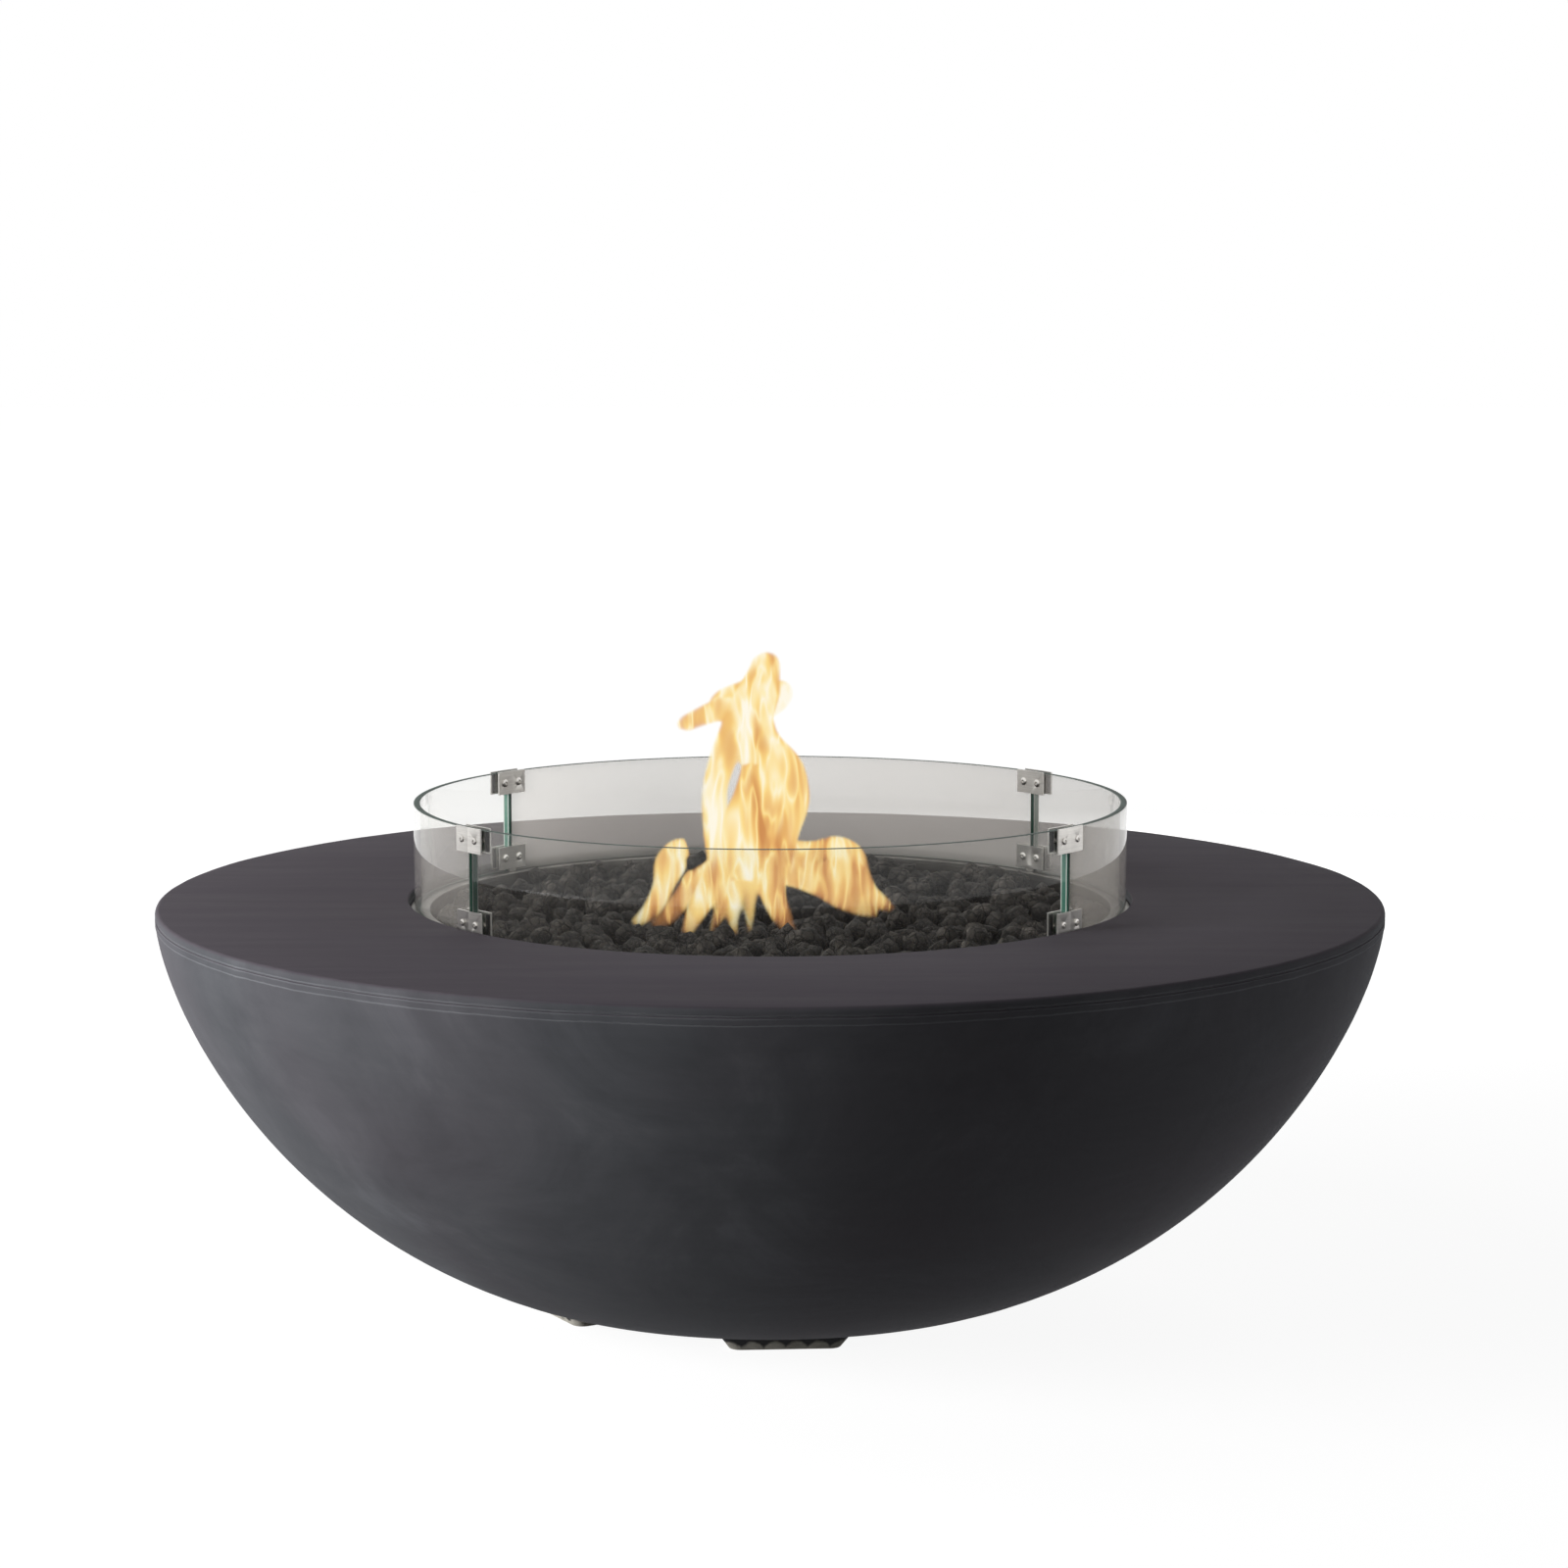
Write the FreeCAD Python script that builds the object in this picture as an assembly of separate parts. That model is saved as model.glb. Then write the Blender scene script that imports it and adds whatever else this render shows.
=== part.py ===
"""Round cast-concrete gas fire bowl with a drop-in burner pan, lava rock and a lift-off glass wind guard.

Millimetres. The origin is on the floor under the middle of the bowl, +Z is up, the front is -Y and the
control panel sits in a pocket in the back, at +Y.
"""

import FreeCAD, Part
import math
import os

from FreeCAD import Rotation, Vector

X = Vector(1, 0, 0)
Y = Vector(0, 1, 0)
Z = Vector(0, 0, 1)

# Fits and clearances
running_fit = 0.06
joint_fit = 0.05
seat_gap = 0.3

# Bowl
deck_height = 350.0
bowl_radius = 535.0
rim_round = 4.0
rim_band = 8.0
curve_below_floor = 20.0
curve_power = 1.479
curve_root = 2.531
wall = 20.0
deck_thickness = 32.0
base_thickness = 26.0
service_hole_radius = 130.0

# Opening in the deck
opening_radius = 317.0
ledge_depth = 10.0
ledge_width = 16.0

# Feet
glide_thickness = 4.0
foot_thickness = 13.0
foot_reach = 187.0
foot_width = 116.0
foot_length = 86.0
foot_taper = 11.0
foot_corner = 10.0
foot_pair_angle = -117.75
foot_spread = 31.25
foot_bolt_radius = 4.0
foot_bolt_head = 13.0
foot_bolt_head_height = 5.3
foot_bolt_end_gap = 3.0
foot_recess_gap = 1.0
foot_insert_radius = 6.0
foot_insert_length = 18.0

# Burner pan
pan_gauge = 1.5
pan_depth = 75.0
pan_wall_gap = 1.0
pan_flange_gap = 1.3
lead_hole_radius = 24.0
drain_hole_radius = 4.0
drain_circle = 225.0
drain_count = 4

# Burner
burner_circle = 150.0
burner_sides = 5
burner_tube = 9.5
burner_wall = 1.5
burner_standoff = 8.0
port_radius = 1.4
ports_per_side = 4
port_spacing = 32.0
port_tilt = 35.0
hub_radius = 19.0
hub_cap = 4.0
hub_wall = 5.0
spoke_root = 4.0
nipple_radius = 10.5
nipple_bore = 6.0
nipple_length = 32.0
hub_nut_flats = 32.0
hub_nut_height = 8.0

# Mixer under the pan
elbow_radius = 15.0
elbow_reach = 33.0
elbow_socket = 15.0
mixer_radius = 17.0
mixer_length = 58.0
mixer_end_wall = 7.0
mixer_wall = 4.0
air_window_margin = 5.0
air_window_length = 22.0
air_window_width = 12.0
spud_flats = 22.0
spud_length = 14.0
spud_nose = 6.0
jet_radius = 1.2

# Gas pipes
pipe_radius = 4.75
pipe_wall = 1.0
pipe_bend = 30.0
pipe_socket = 8.0
pipe_nut_flats = 19.0
pipe_nut_length = 12.0
feed_run = 52.0
inlet_pipe_rise = 52.0
inlet_pipe_drop = 70.0

# Gas inlet in the service hole
inlet_y = 60.0
inlet_thread_radius = 7.94
inlet_thread_length = 15.0
inlet_bore = 4.0
union_shank_radius = 7.0
union_flats = 24.0
union_hex_height = 8.0
union_top_radius = 8.0
union_top_length = 14.0
union_nut_height = 5.0
bracket_width = 40.0
bracket_gauge = 3.0
bracket_landing = 55.0
bracket_screw_radius = 3.0
bracket_screw_flats = 10.0
bracket_screw_head = 4.0

# Pilot
pilot_y = 92.0
pilot_pitch = 15.0
pilot_shelf_length = 62.0
pilot_shelf_width = 16.0
pilot_shelf_height = 13.0
pilot_gauge = 1.5
pilot_tube_radius = 4.0
pilot_hood_radius = 5.6
pilot_hood_height = 8.0
electrode_radius = 3.0
electrode_rod_radius = 1.0
thermocouple_radius = 2.2
pilot_mouth_width = 6.0
pilot_mouth_margin = 2.0
pilot_foot_length = 9.0
pilot_cover = 4.0
spark_rod_bare = 8.0
thermocouple_drop = 2.0
pilot_tail = 16.0
lead_socket = 6.0
lead_radius = 2.0
lead_bend = 12.0
lead_drop = 31.0
lead_run_in = 50.0

# Lava rock
rock_drop = 12.0
bed_gap = 0.5
bed_recess_gap = 12.5
bed_recess_cover = 6.5
stone_height = 20.0
stone_radius = 15.6
stone_fill = 0.5735
stone_edge = 14.5

# Control panel in the back pocket
panel_inset = 80.0
panel_drop = 105.0
pocket_margin = 6.0
pocket_corner = 12.0
panel_width = 160.0
panel_height = 92.0
panel_gauge = 2.0
panel_corner = 7.0
panel_boss_depth = 24.0
panel_boss_margin = 20.0
panel_window_margin = 2.0
panel_window_height = 62.0
panel_screw_radius = 2.0
panel_screw_inset = 9.0
panel_screw_head = 3.8
panel_screw_head_height = 2.2
panel_screw_length = 14.0
control_pitch = 33.0

# Valve
valve_radius = 16.0
valve_length = 64.0
valve_flange_thickness = 6.0
valve_flange_height = 20.0
valve_flange_width = 34.0
valve_boss_radius = 9.0
valve_boss_reach = 34.0
valve_boss_back = 55.0
valve_screw_pitch = 11.5
valve_screw_radius = 1.7
valve_screw_head = 2.8
valve_screw_head_height = 1.6
stem_radius = 4.0
stem_depth = 24.0
knob_travel = 4.0
stem_hole_gap = 1.0
valve_port_depth = 4.0
port_spread = 8.0

# Knob
knob_radius = 19.0
knob_depth = 22.0
knob_gap = 5.0
knob_skirt = 3.0
knob_cavity = 14.0
knob_hub_radius = 7.0
knob_round = 2.5
grip_width = 9.0
grip_length = 34.0
grip_height = 7.0
grip_round = 1.6
knob_face = 4.0
pointer_length = 10.0
pointer_width = 1.8
pointer_depth = 0.5
pointer_margin = 2.0
collar_radius = 10.0
collar_thickness = 2.0
spring_wall = 0.8
valve_spring_gap = 1.2
dial_inner = 21.0
dial_outer = 29.0
dial_thickness = 0.5

# Igniter
barrel_radius = 11.0
barrel_wall = 2.4
igniter_flange_radius = 15.0
igniter_flange_thickness = 2.5
igniter_nut_flats = 28.0
igniter_nut_height = 6.0
battery_radius = 7.25
battery_length = 50.5
battery_contact_radius = 2.7
battery_contact_height = 1.0
button_proud = 5.5
button_length = 17.0
button_round = 1.2
button_travel = 3.0
button_spring_pressed = 12.6
igniter_spring_radius = 5.5
terminal_radius = 3.0
terminal_length = 7.0

# Wind guard
glass_inset = 5.0
glass_thickness = 6.0
glass_height = 93.0
glass_gap = 4.5
joint_angle = 37.5
glass_hole_radius = 2.6
clip_wing = 18.0
clip_height = 21.0
clip_gauge = 1.5
clip_rise = 1.0
lower_clip_lift = 2.7
tab_width = 9.0
tab_root = 3.0
pad_thickness = 1.0
pad_length = 4.0
pad_margin = 1.5
pad_inset = 0.5
web_share = 0.9
web_foot = 2.0
web_proud = 0.5
clip_screw_offset = 9.5
clip_screw_radius = 2.0
clip_screw_head = 2.9
clip_screw_head_height = 0.9
clip_nut_radius = 3.6
clip_nut_height = 2.4
clip_screw_tail = 1.5
clip_seat = 0.1

# Levels and places worked out from the sizes above
foot_height = glide_thickness + foot_thickness
base_floor = foot_height + base_thickness
deck_underside = deck_height - deck_thickness
ledge_z = deck_height - ledge_depth
bore_radius = opening_radius - ledge_width
curve_depth = deck_height - rim_band + curve_below_floor
flange_top = ledge_z + pan_gauge
pan_radius = bore_radius - pan_wall_gap
pan_inner = pan_radius - pan_gauge
pan_floor = flange_top - pan_depth
pan_underside = pan_floor - pan_gauge
burner_z = pan_floor + burner_standoff + burner_tube
recess_top = burner_z + burner_tube + bed_recess_cover
bed_recess_radius = burner_circle + burner_tube + bed_recess_gap
stone_field = pan_inner - stone_edge
stone_count = int(stone_fill * (stone_field / stone_radius) ** 2)
bed_top = deck_height - rock_drop - stone_height
pilot_shelf_z = pan_floor + pilot_shelf_height
pilot_top = recess_top - pilot_cover
pilot_bottom = pan_underside - pilot_tail
lead_z = pan_underside - lead_drop
elbow_z = pan_floor - nipple_length - elbow_radius
mixer_end = elbow_reach + mixer_length
feed_start = mixer_end + spud_length
panel_back = bowl_radius - panel_inset
panel_face = panel_back + panel_gauge
panel_z = deck_height - panel_drop
pocket_width = panel_width + 2.0 * pocket_margin
pocket_height = panel_height + 2.0 * pocket_margin
panel_window_width = 2.0 * (control_pitch + valve_flange_width / 2.0 + panel_window_margin)
valve_x = -control_pitch
igniter_x = control_pitch
boss_y = panel_back - valve_boss_back
knob_start = panel_face + knob_gap
knob_end = knob_start + knob_depth
collar_end = knob_start + knob_skirt
button_inside = button_length - button_proud - igniter_flange_thickness
barrel_length = barrel_wall + battery_length + button_spring_pressed + button_travel + button_inside
guard_bottom = flange_top + seat_gap
guard_top = guard_bottom + glass_height
glass_radius = opening_radius - glass_inset
glass_inner = glass_radius - glass_thickness
union_bottom = base_floor - union_nut_height - inlet_thread_length
bracket_top = base_floor + bracket_gauge
bracket_end = service_hole_radius + bracket_landing
union_top = bracket_top + union_hex_height + union_top_length


def curve_radius(z):
    """Outside radius of the bowl at height z, below the rim band."""
    depth = deck_height - rim_band - z
    return bowl_radius * (1.0 - (depth / curve_depth) ** curve_power) ** (1.0 / curve_root)


def inner_radius(z):
    """Inside radius of the bowl at height z: the wall is measured square to the curve."""
    slope = (curve_radius(z + 1.0) - curve_radius(z - 1.0)) / 2.0
    return curve_radius(z) - wall * math.sqrt(1.0 + slope * slope)


def moved(shape, place, rotation=None):
    """Copy of a shape, turned about the origin and then moved."""
    copy = shape.copy()
    copy.Placement = FreeCAD.Placement(place, rotation or Rotation()).multiply(shape.Placement)
    return copy


def polar(radius, angle, z=0.0):
    turn = math.radians(angle)
    return Vector(radius * math.cos(turn), radius * math.sin(turn), z)


def rod(start, direction, radius, length):
    return Part.makeCylinder(radius, length, start, direction)


def tube(start, direction, radius, bore, length):
    return rod(start, direction, radius, length).cut(rod(start, direction, bore, length))


def box(low, high):
    size = high - low
    return Part.makeBox(size.x, size.y, size.z, low)


def turned(edges):
    """Solid of revolution about Z from edges in the XZ plane."""
    face = Part.Face(Part.Wire(edges))
    return face.revolve(Vector(), Z, 360)


def turned_polygon(points):
    """Solid of revolution about Z from (radius, height) corners."""
    corners = [Vector(r, 0, z) for r, z in points]
    return Part.Face(Part.makePolygon(corners + corners[:1])).revolve(Vector(), Z, 360)


def hexagon(start, direction, flats, height):
    """Hexagonal prism that grows from start along direction."""
    across = flats / math.sqrt(3.0)
    corners = [polar(across, 60.0 * k) for k in range(7)]
    prism = Part.Face(Part.makePolygon(corners)).extrude(Z * height)
    return moved(prism, start, Rotation(Z, direction))


def rounded_outline(width, length, corner):
    """Rectangle with rounded corners in the XY plane, centred on the origin."""
    across = width / 2.0 - corner
    along = length / 2.0 - corner
    centres = [Vector(across, along, 0), Vector(-across, along, 0),
               Vector(-across, -along, 0), Vector(across, -along, 0)]
    arcs = []
    for k, centre in enumerate(centres):
        arcs.append([centre + polar(corner, 90.0 * k + part) for part in (0.0, 45.0, 90.0)])
    edges = []
    for arc, following in zip(arcs, arcs[1:] + arcs[:1]):
        edges.append(Part.Arc(*arc).toShape())
        edges.append(Part.LineSegment(arc[-1], following[0]).toShape())
    return Part.Wire(edges)


def rounded_plate(width, height, corner, y, depth):
    """Plate with rounded corners that stands across Y, level with the controls, and grows from y by depth."""
    plate = Part.Face(rounded_outline(width, height, corner)).extrude(Z * depth)
    return moved(plate, Vector(0, y, panel_z), Rotation(X, -90))


def ring_sector(inner, outer, low, high, start, end):
    """Part of an upright ring between two angles."""
    corners = [Vector(inner, 0, low), Vector(outer, 0, low), Vector(outer, 0, high), Vector(inner, 0, high)]
    face = Part.Face(Part.makePolygon(corners + corners[:1]))
    face.rotate(Vector(), Z, start)
    return face.revolve(Vector(), Z, end - start)


def bent_path(points, bend):
    """Straight runs joined by tangent arcs of one radius."""
    edges = []
    start = points[0]
    for before, corner, after in zip(points, points[1:], points[2:]):
        inward = (before - corner).normalize()
        outward = (after - corner).normalize()
        half_turn = (math.pi - inward.getAngle(outward)) / 2.0
        reach = bend * math.tan(half_turn)
        middle = (inward + outward).normalize()
        arc_middle = corner + middle * (bend / math.cos(half_turn) - bend)
        arc_start = corner + inward * reach
        arc_end = corner + outward * reach
        edges.append(Part.LineSegment(start, arc_start).toShape())
        edges.append(Part.Arc(arc_start, arc_middle, arc_end).toShape())
        start = arc_end
    edges.append(Part.LineSegment(start, points[-1]).toShape())
    return Part.Wire(edges)


def bent_rod(points, bend, radius):
    direction = points[1] - points[0]
    profile = Part.Wire(Part.makeCircle(radius, points[0], direction))
    return bent_path(points, bend).makePipeShell([profile], True, False)


# Bowl, feet and what fixes them


def bowl_outline():
    """Outside of the bowl as edges from the middle of the base up to the middle of the deck."""
    curve_top = deck_height - rim_band
    shares = (1.0, 0.88, 0.74, 0.54, 0.34, 0.15, 0.0)
    levels = [curve_top - (curve_top - foot_height) * share for share in shares]
    points = [Vector(curve_radius(z), 0, z) for z in levels]
    arcs = [Part.Arc(*points[k:k + 3]).toShape() for k in (0, 2, 4)]
    round_centre = Vector(bowl_radius - rim_round, 0, deck_height - rim_round)
    rim_middle = round_centre + Vector(1, 0, 1) * (rim_round / math.sqrt(2.0))
    rim_high = Vector(bowl_radius, 0, deck_height - rim_round)
    deck_edge = Vector(bowl_radius - rim_round, 0, deck_height)
    middle = [Vector(0, 0, deck_height), Vector(0, 0, foot_height)]
    return [Part.LineSegment(middle[1], points[0]).toShape()] + arcs + [
        Part.LineSegment(points[-1], rim_high).toShape(),
        Part.Arc(rim_high, rim_middle, deck_edge).toShape(),
        Part.LineSegment(deck_edge, middle[0]).toShape(),
        Part.LineSegment(middle[0], middle[1]).toShape(),
    ]


def bowl_hollow():
    """Space inside the bowl: straight-sided steps that keep at least the full wall."""
    shares = (0.0, 0.16, 0.4, 0.7, 1.0)
    levels = [base_floor + (deck_underside - base_floor) * share for share in shares]
    side = [(inner_radius(z), z) for z in levels]
    return turned_polygon([(0, base_floor)] + side + [(0, deck_underside)])


def foot_angles():
    """Two pairs of feet, so that a pallet jack can go in between the pairs."""
    angles = []
    for pair in (foot_pair_angle, foot_pair_angle + 180.0):
        angles += [pair - foot_spread, pair + foot_spread]
    return angles


def panel_boss(outer):
    """Thicker stretch of wall behind the control panel."""
    half_width = pocket_width / 2.0 + panel_boss_margin
    half_height = pocket_height / 2.0 + panel_boss_margin
    block = box(Vector(-half_width, panel_back - panel_boss_depth, panel_z - half_height),
                Vector(half_width, bowl_radius, min(panel_z + half_height, deck_underside + 1.0)))
    return block.common(outer)


def panel_screw_places():
    across = panel_width / 2.0 - panel_screw_inset
    up = panel_height / 2.0 - panel_screw_inset
    return [Vector(sx * across, 0, panel_z + sz * up) for sx in (-1, 1) for sz in (-1, 1)]


def bowl_shell():
    outer = turned(bowl_outline())
    shell = outer.cut(bowl_hollow())
    shell = shell.cut(rod(Vector(0, 0, ledge_z), Z, opening_radius, ledge_depth + 1.0))
    shell = shell.cut(rod(Vector(0, 0, deck_underside - 1.0), Z, bore_radius, deck_thickness))
    shell = shell.cut(rod(Vector(0, 0, foot_height - 1.0), Z, service_hole_radius, base_thickness + 2.0))
    shell = shell.fuse(panel_boss(outer))
    pocket = rounded_plate(pocket_width, pocket_height, pocket_corner, panel_back, panel_inset + 1.0)
    window = rounded_plate(panel_window_width, panel_window_height, pocket_corner,
                           panel_back - panel_boss_depth - 1.0, panel_boss_depth + 2.0)
    shell = shell.cut(pocket).cut(window)
    depth = panel_screw_length - panel_gauge + 1.0
    for place in panel_screw_places():
        hole_start = place + Y * (panel_back - depth)
        shell = shell.cut(rod(hole_start, Y, panel_screw_radius + joint_fit, depth + 1.0))
    for angle in foot_angles():
        hole_start = polar(foot_reach, angle, foot_height - 1.0)
        shell = shell.cut(rod(hole_start, Z, foot_insert_radius + joint_fit, foot_insert_length + 1.0))
    return shell.removeSplitter()


def foot_section(margin, z):
    """Rounded rectangle, longer across the bowl's radius than along it."""
    wire = rounded_outline(foot_length - 2.0 * margin, foot_width - 2.0 * margin, foot_corner)
    wire.translate(Vector(foot_reach, 0, z))
    return wire


def foot_blank(low, high):
    """Slice of the tapered foot between two heights."""
    slope = foot_taper / foot_height
    sections = [foot_section((foot_height - z) * slope, z) for z in (low, high)]
    return Part.makeLoft(sections, True, True)


def foot(angle):
    block = foot_blank(glide_thickness, foot_height)
    block = block.cut(rod(Vector(foot_reach, 0, 0), Z, foot_bolt_radius + seat_gap, foot_height + 1.0))
    recess = foot_bolt_head / math.sqrt(3.0) + foot_recess_gap
    block = block.cut(rod(Vector(foot_reach, 0, 0), Z, recess, glide_thickness + foot_bolt_head_height))
    return moved(block, Vector(), Rotation(Z, angle))


def foot_glides():
    pad = foot_blank(0.0, glide_thickness)
    opening = foot_bolt_head / math.sqrt(3.0) + foot_recess_gap
    pad = pad.cut(rod(Vector(foot_reach, 0, -1), Z, opening, glide_thickness + 2.0))
    return Part.makeCompound([moved(pad, Vector(), Rotation(Z, angle)) for angle in foot_angles()])


def foot_bolts():
    head_base = glide_thickness
    head = hexagon(Vector(foot_reach, 0, head_base), Z, foot_bolt_head, foot_bolt_head_height)
    length = foot_thickness - foot_bolt_head_height + foot_insert_length - foot_bolt_end_gap
    shank = rod(Vector(foot_reach, 0, head_base + foot_bolt_head_height), Z, foot_bolt_radius, length)
    bolt = head.fuse(shank)
    return Part.makeCompound([moved(bolt, Vector(), Rotation(Z, angle)) for angle in foot_angles()])


def foot_inserts():
    sleeve = tube(Vector(foot_reach, 0, foot_height), Z, foot_insert_radius,
                  foot_bolt_radius + joint_fit, foot_insert_length)
    return Part.makeCompound([moved(sleeve, Vector(), Rotation(Z, angle)) for angle in foot_angles()])


# Burner pan, burner and gas train


def burner_pan():
    flange = opening_radius - pan_flange_gap
    pan = turned_polygon([
        (0, pan_underside), (pan_radius, pan_underside), (pan_radius, ledge_z), (flange, ledge_z),
        (flange, flange_top), (pan_inner, flange_top), (pan_inner, pan_floor), (0, pan_floor),
    ])
    pan = pan.cut(rod(Vector(0, 0, pan_underside - 1.0), Z, nipple_radius + joint_fit, pan_gauge + 2.0))
    pan = pan.cut(rod(Vector(0, pilot_y, pan_underside - 1.0), Z, lead_hole_radius, pan_gauge + 2.0))
    for k in range(drain_count):
        place = polar(drain_circle, 45.0 + 360.0 / drain_count * k, pan_underside - 1.0)
        pan = pan.cut(rod(place, Z, drain_hole_radius, pan_gauge + 2.0))
    return pan


def burner_angles():
    """Directions of the spokes: one points at the front."""
    return [-90.0 + 360.0 / burner_sides * k for k in range(burner_sides)]


def burner_side(radius):
    """One side of the burner frame, mitred at both ends, with its middle on the X axis."""
    half = math.pi / burner_sides
    apothem = burner_circle * math.cos(half)
    reach = burner_circle * math.sin(half) + 2.0 * burner_tube
    straight = rod(Vector(apothem, -reach, burner_z), Y, radius, 2.0 * reach)
    far = 2.0 * burner_circle
    wedge = Part.makePolygon([Vector(0, 0, burner_z - far), Vector(far, -far * math.tan(half), burner_z - far),
                              Vector(far, far * math.tan(half), burner_z - far), Vector(0, 0, burner_z - far)])
    return straight.common(Part.Face(wedge).extrude(Z * 2.0 * far))


def frame_tubes(radius):
    half = 180.0 / burner_sides
    sides = [moved(burner_side(radius), Vector(), Rotation(Z, angle + half)) for angle in burner_angles()]
    return sides[0].fuse(sides[1:]).removeSplitter()


def burner_frame():
    frame = frame_tubes(burner_tube).cut(frame_tubes(burner_tube - burner_wall))
    half = math.pi / burner_sides
    apothem = burner_circle * math.cos(half)
    tilt = math.radians(port_tilt)
    direction = Vector(math.sin(tilt), 0, math.cos(tilt))
    ports = []
    for angle in burner_angles():
        for k in range(ports_per_side):
            along = (k - (ports_per_side - 1) / 2.0) * port_spacing
            port = rod(Vector(apothem, along, burner_z), direction, port_radius, burner_tube + 2.0)
            ports.append(moved(port, Vector(), Rotation(Z, angle + math.degrees(half))))
    return frame.cut(Part.makeCompound(ports))


def burner_spokes():
    """Tubes from the hub to the frame's corners, coped to meet both."""
    frame = frame_tubes(burner_tube + joint_fit)
    spokes = []
    for angle in burner_angles():
        start = polar(hub_radius - spoke_root, angle, burner_z)
        length = burner_circle - hub_radius + spoke_root
        blank = rod(start, polar(1, angle), burner_tube - burner_wall, length)
        bore = rod(start, polar(1, angle), burner_tube - 2.0 * burner_wall, burner_circle)
        hub = rod(Vector(0, 0, pan_floor), Z, hub_radius + joint_fit, pan_depth)
        spoke = blank.cut(bore).cut(hub).cut(frame)
        spokes.append(max(spoke.Solids, key=lambda solid: solid.Volume))
    return Part.makeCompound(spokes)


def burner_hub():
    chamber = burner_tube - burner_wall
    top = burner_z + chamber + hub_cap
    hub = rod(Vector(0, 0, pan_floor), Z, hub_radius, top - pan_floor)
    hub = hub.fuse(rod(Vector(0, 0, pan_floor - nipple_length), Z, nipple_radius, nipple_length))
    hub = hub.cut(rod(Vector(0, 0, pan_floor - nipple_length - 1.0), Z, nipple_bore,
                      nipple_length + burner_standoff))
    hub = hub.cut(rod(Vector(0, 0, burner_z - chamber), Z, hub_radius - hub_wall, 2.0 * chamber))
    for angle in burner_angles():
        hub = hub.cut(rod(Vector(0, 0, burner_z), polar(1, angle), chamber - burner_wall, hub_radius + 1.0))
    return hub


def hub_lock_nut():
    low = pan_underside - hub_nut_height
    nut = hexagon(Vector(0, 0, low), Z, hub_nut_flats, hub_nut_height)
    return nut.cut(rod(Vector(0, 0, low), Z, nipple_radius + joint_fit, hub_nut_height))


def gas_elbow():
    """Street elbow that turns the gas from the mixer up into the hub's nipple."""
    top = pan_floor - nipple_length + elbow_socket
    body = rod(Vector(0, 0, elbow_z - elbow_radius), Z, elbow_radius, top - elbow_z + elbow_radius)
    body = body.fuse(rod(Vector(0, 0, elbow_z), -X, elbow_radius, elbow_reach))
    body = body.cut(rod(Vector(0, 0, top - elbow_socket), Z, nipple_radius + joint_fit, elbow_socket + 1.0))
    body = body.cut(rod(Vector(0, 0, elbow_z), Z, nipple_bore, elbow_radius + 1.0))
    body = body.cut(rod(Vector(0, 0, elbow_z), -X, nipple_bore, elbow_reach))
    socket = elbow_reach - elbow_socket
    return body.cut(rod(Vector(-socket, 0, elbow_z), -X, nipple_radius + joint_fit, elbow_socket + 1.0))


def air_mixer():
    """Venturi body with air windows that mixes air into the gas jet."""
    socket_end = elbow_reach - elbow_socket
    body = rod(Vector(-elbow_reach, 0, elbow_z), -X, mixer_radius, mixer_length)
    body = body.fuse(rod(Vector(-socket_end, 0, elbow_z), -X, nipple_radius, elbow_socket))
    body = body.cut(rod(Vector(-socket_end, 0, elbow_z), -X, nipple_bore, elbow_socket + 1.0))
    body = body.cut(rod(Vector(-elbow_reach, 0, elbow_z), -X, nipple_bore, mixer_length - mixer_end_wall))
    chamber = mixer_length - 2.0 * mixer_end_wall
    chamber_start = Vector(-elbow_reach - mixer_end_wall, 0, elbow_z)
    body = body.cut(rod(chamber_start, -X, mixer_radius - mixer_wall, chamber))
    window_start = mixer_end - mixer_end_wall - air_window_margin - air_window_length
    half = air_window_width / 2.0
    for side in (Y, Z):
        low = Vector(-window_start - air_window_length, 0, elbow_z)
        span = (side * mixer_radius * 1.5) + (Y + Z - side) * half
        body = body.cut(box(low - span, low + span + X * air_window_length))
    spud_start = Vector(-mixer_end + mixer_end_wall, 0, elbow_z)
    return body.cut(rod(spud_start, -X, pipe_radius, mixer_end_wall + 1.0))


def orifice_spud():
    start = Vector(-mixer_end, 0, elbow_z)
    spud = hexagon(start, -X, spud_flats, spud_length)
    spud = spud.fuse(rod(start + X * spud_nose, -X, pipe_radius - joint_fit, spud_nose))
    spud = spud.cut(rod(start + X * (spud_nose + 1.0), -X, jet_radius, spud_nose + spud_length))
    socket_start = start - X * (spud_length - pipe_socket)
    return spud.cut(rod(socket_start, -X, pipe_radius + joint_fit, pipe_socket + 1.0))


def feed_points():
    start = -feed_start + pipe_socket
    far = -feed_start - feed_run
    return [Vector(start, 0, elbow_z), Vector(far, 0, elbow_z), Vector(far, boss_y, panel_z),
            Vector(valve_x - valve_boss_reach + pipe_socket, boss_y, panel_z)]


def inlet_points():
    rise = union_top + inlet_pipe_rise
    level = panel_z - inlet_pipe_drop
    return [Vector(0, inlet_y, union_top - pipe_socket), Vector(0, inlet_y, rise),
            Vector(valve_x, boss_y, level), Vector(valve_x, boss_y, panel_z - valve_boss_reach + pipe_socket)]


def gas_pipe(points):
    outside = bent_rod(points, pipe_bend, pipe_radius)
    return outside.cut(bent_rod(points, pipe_bend, pipe_radius - pipe_wall))


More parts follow.
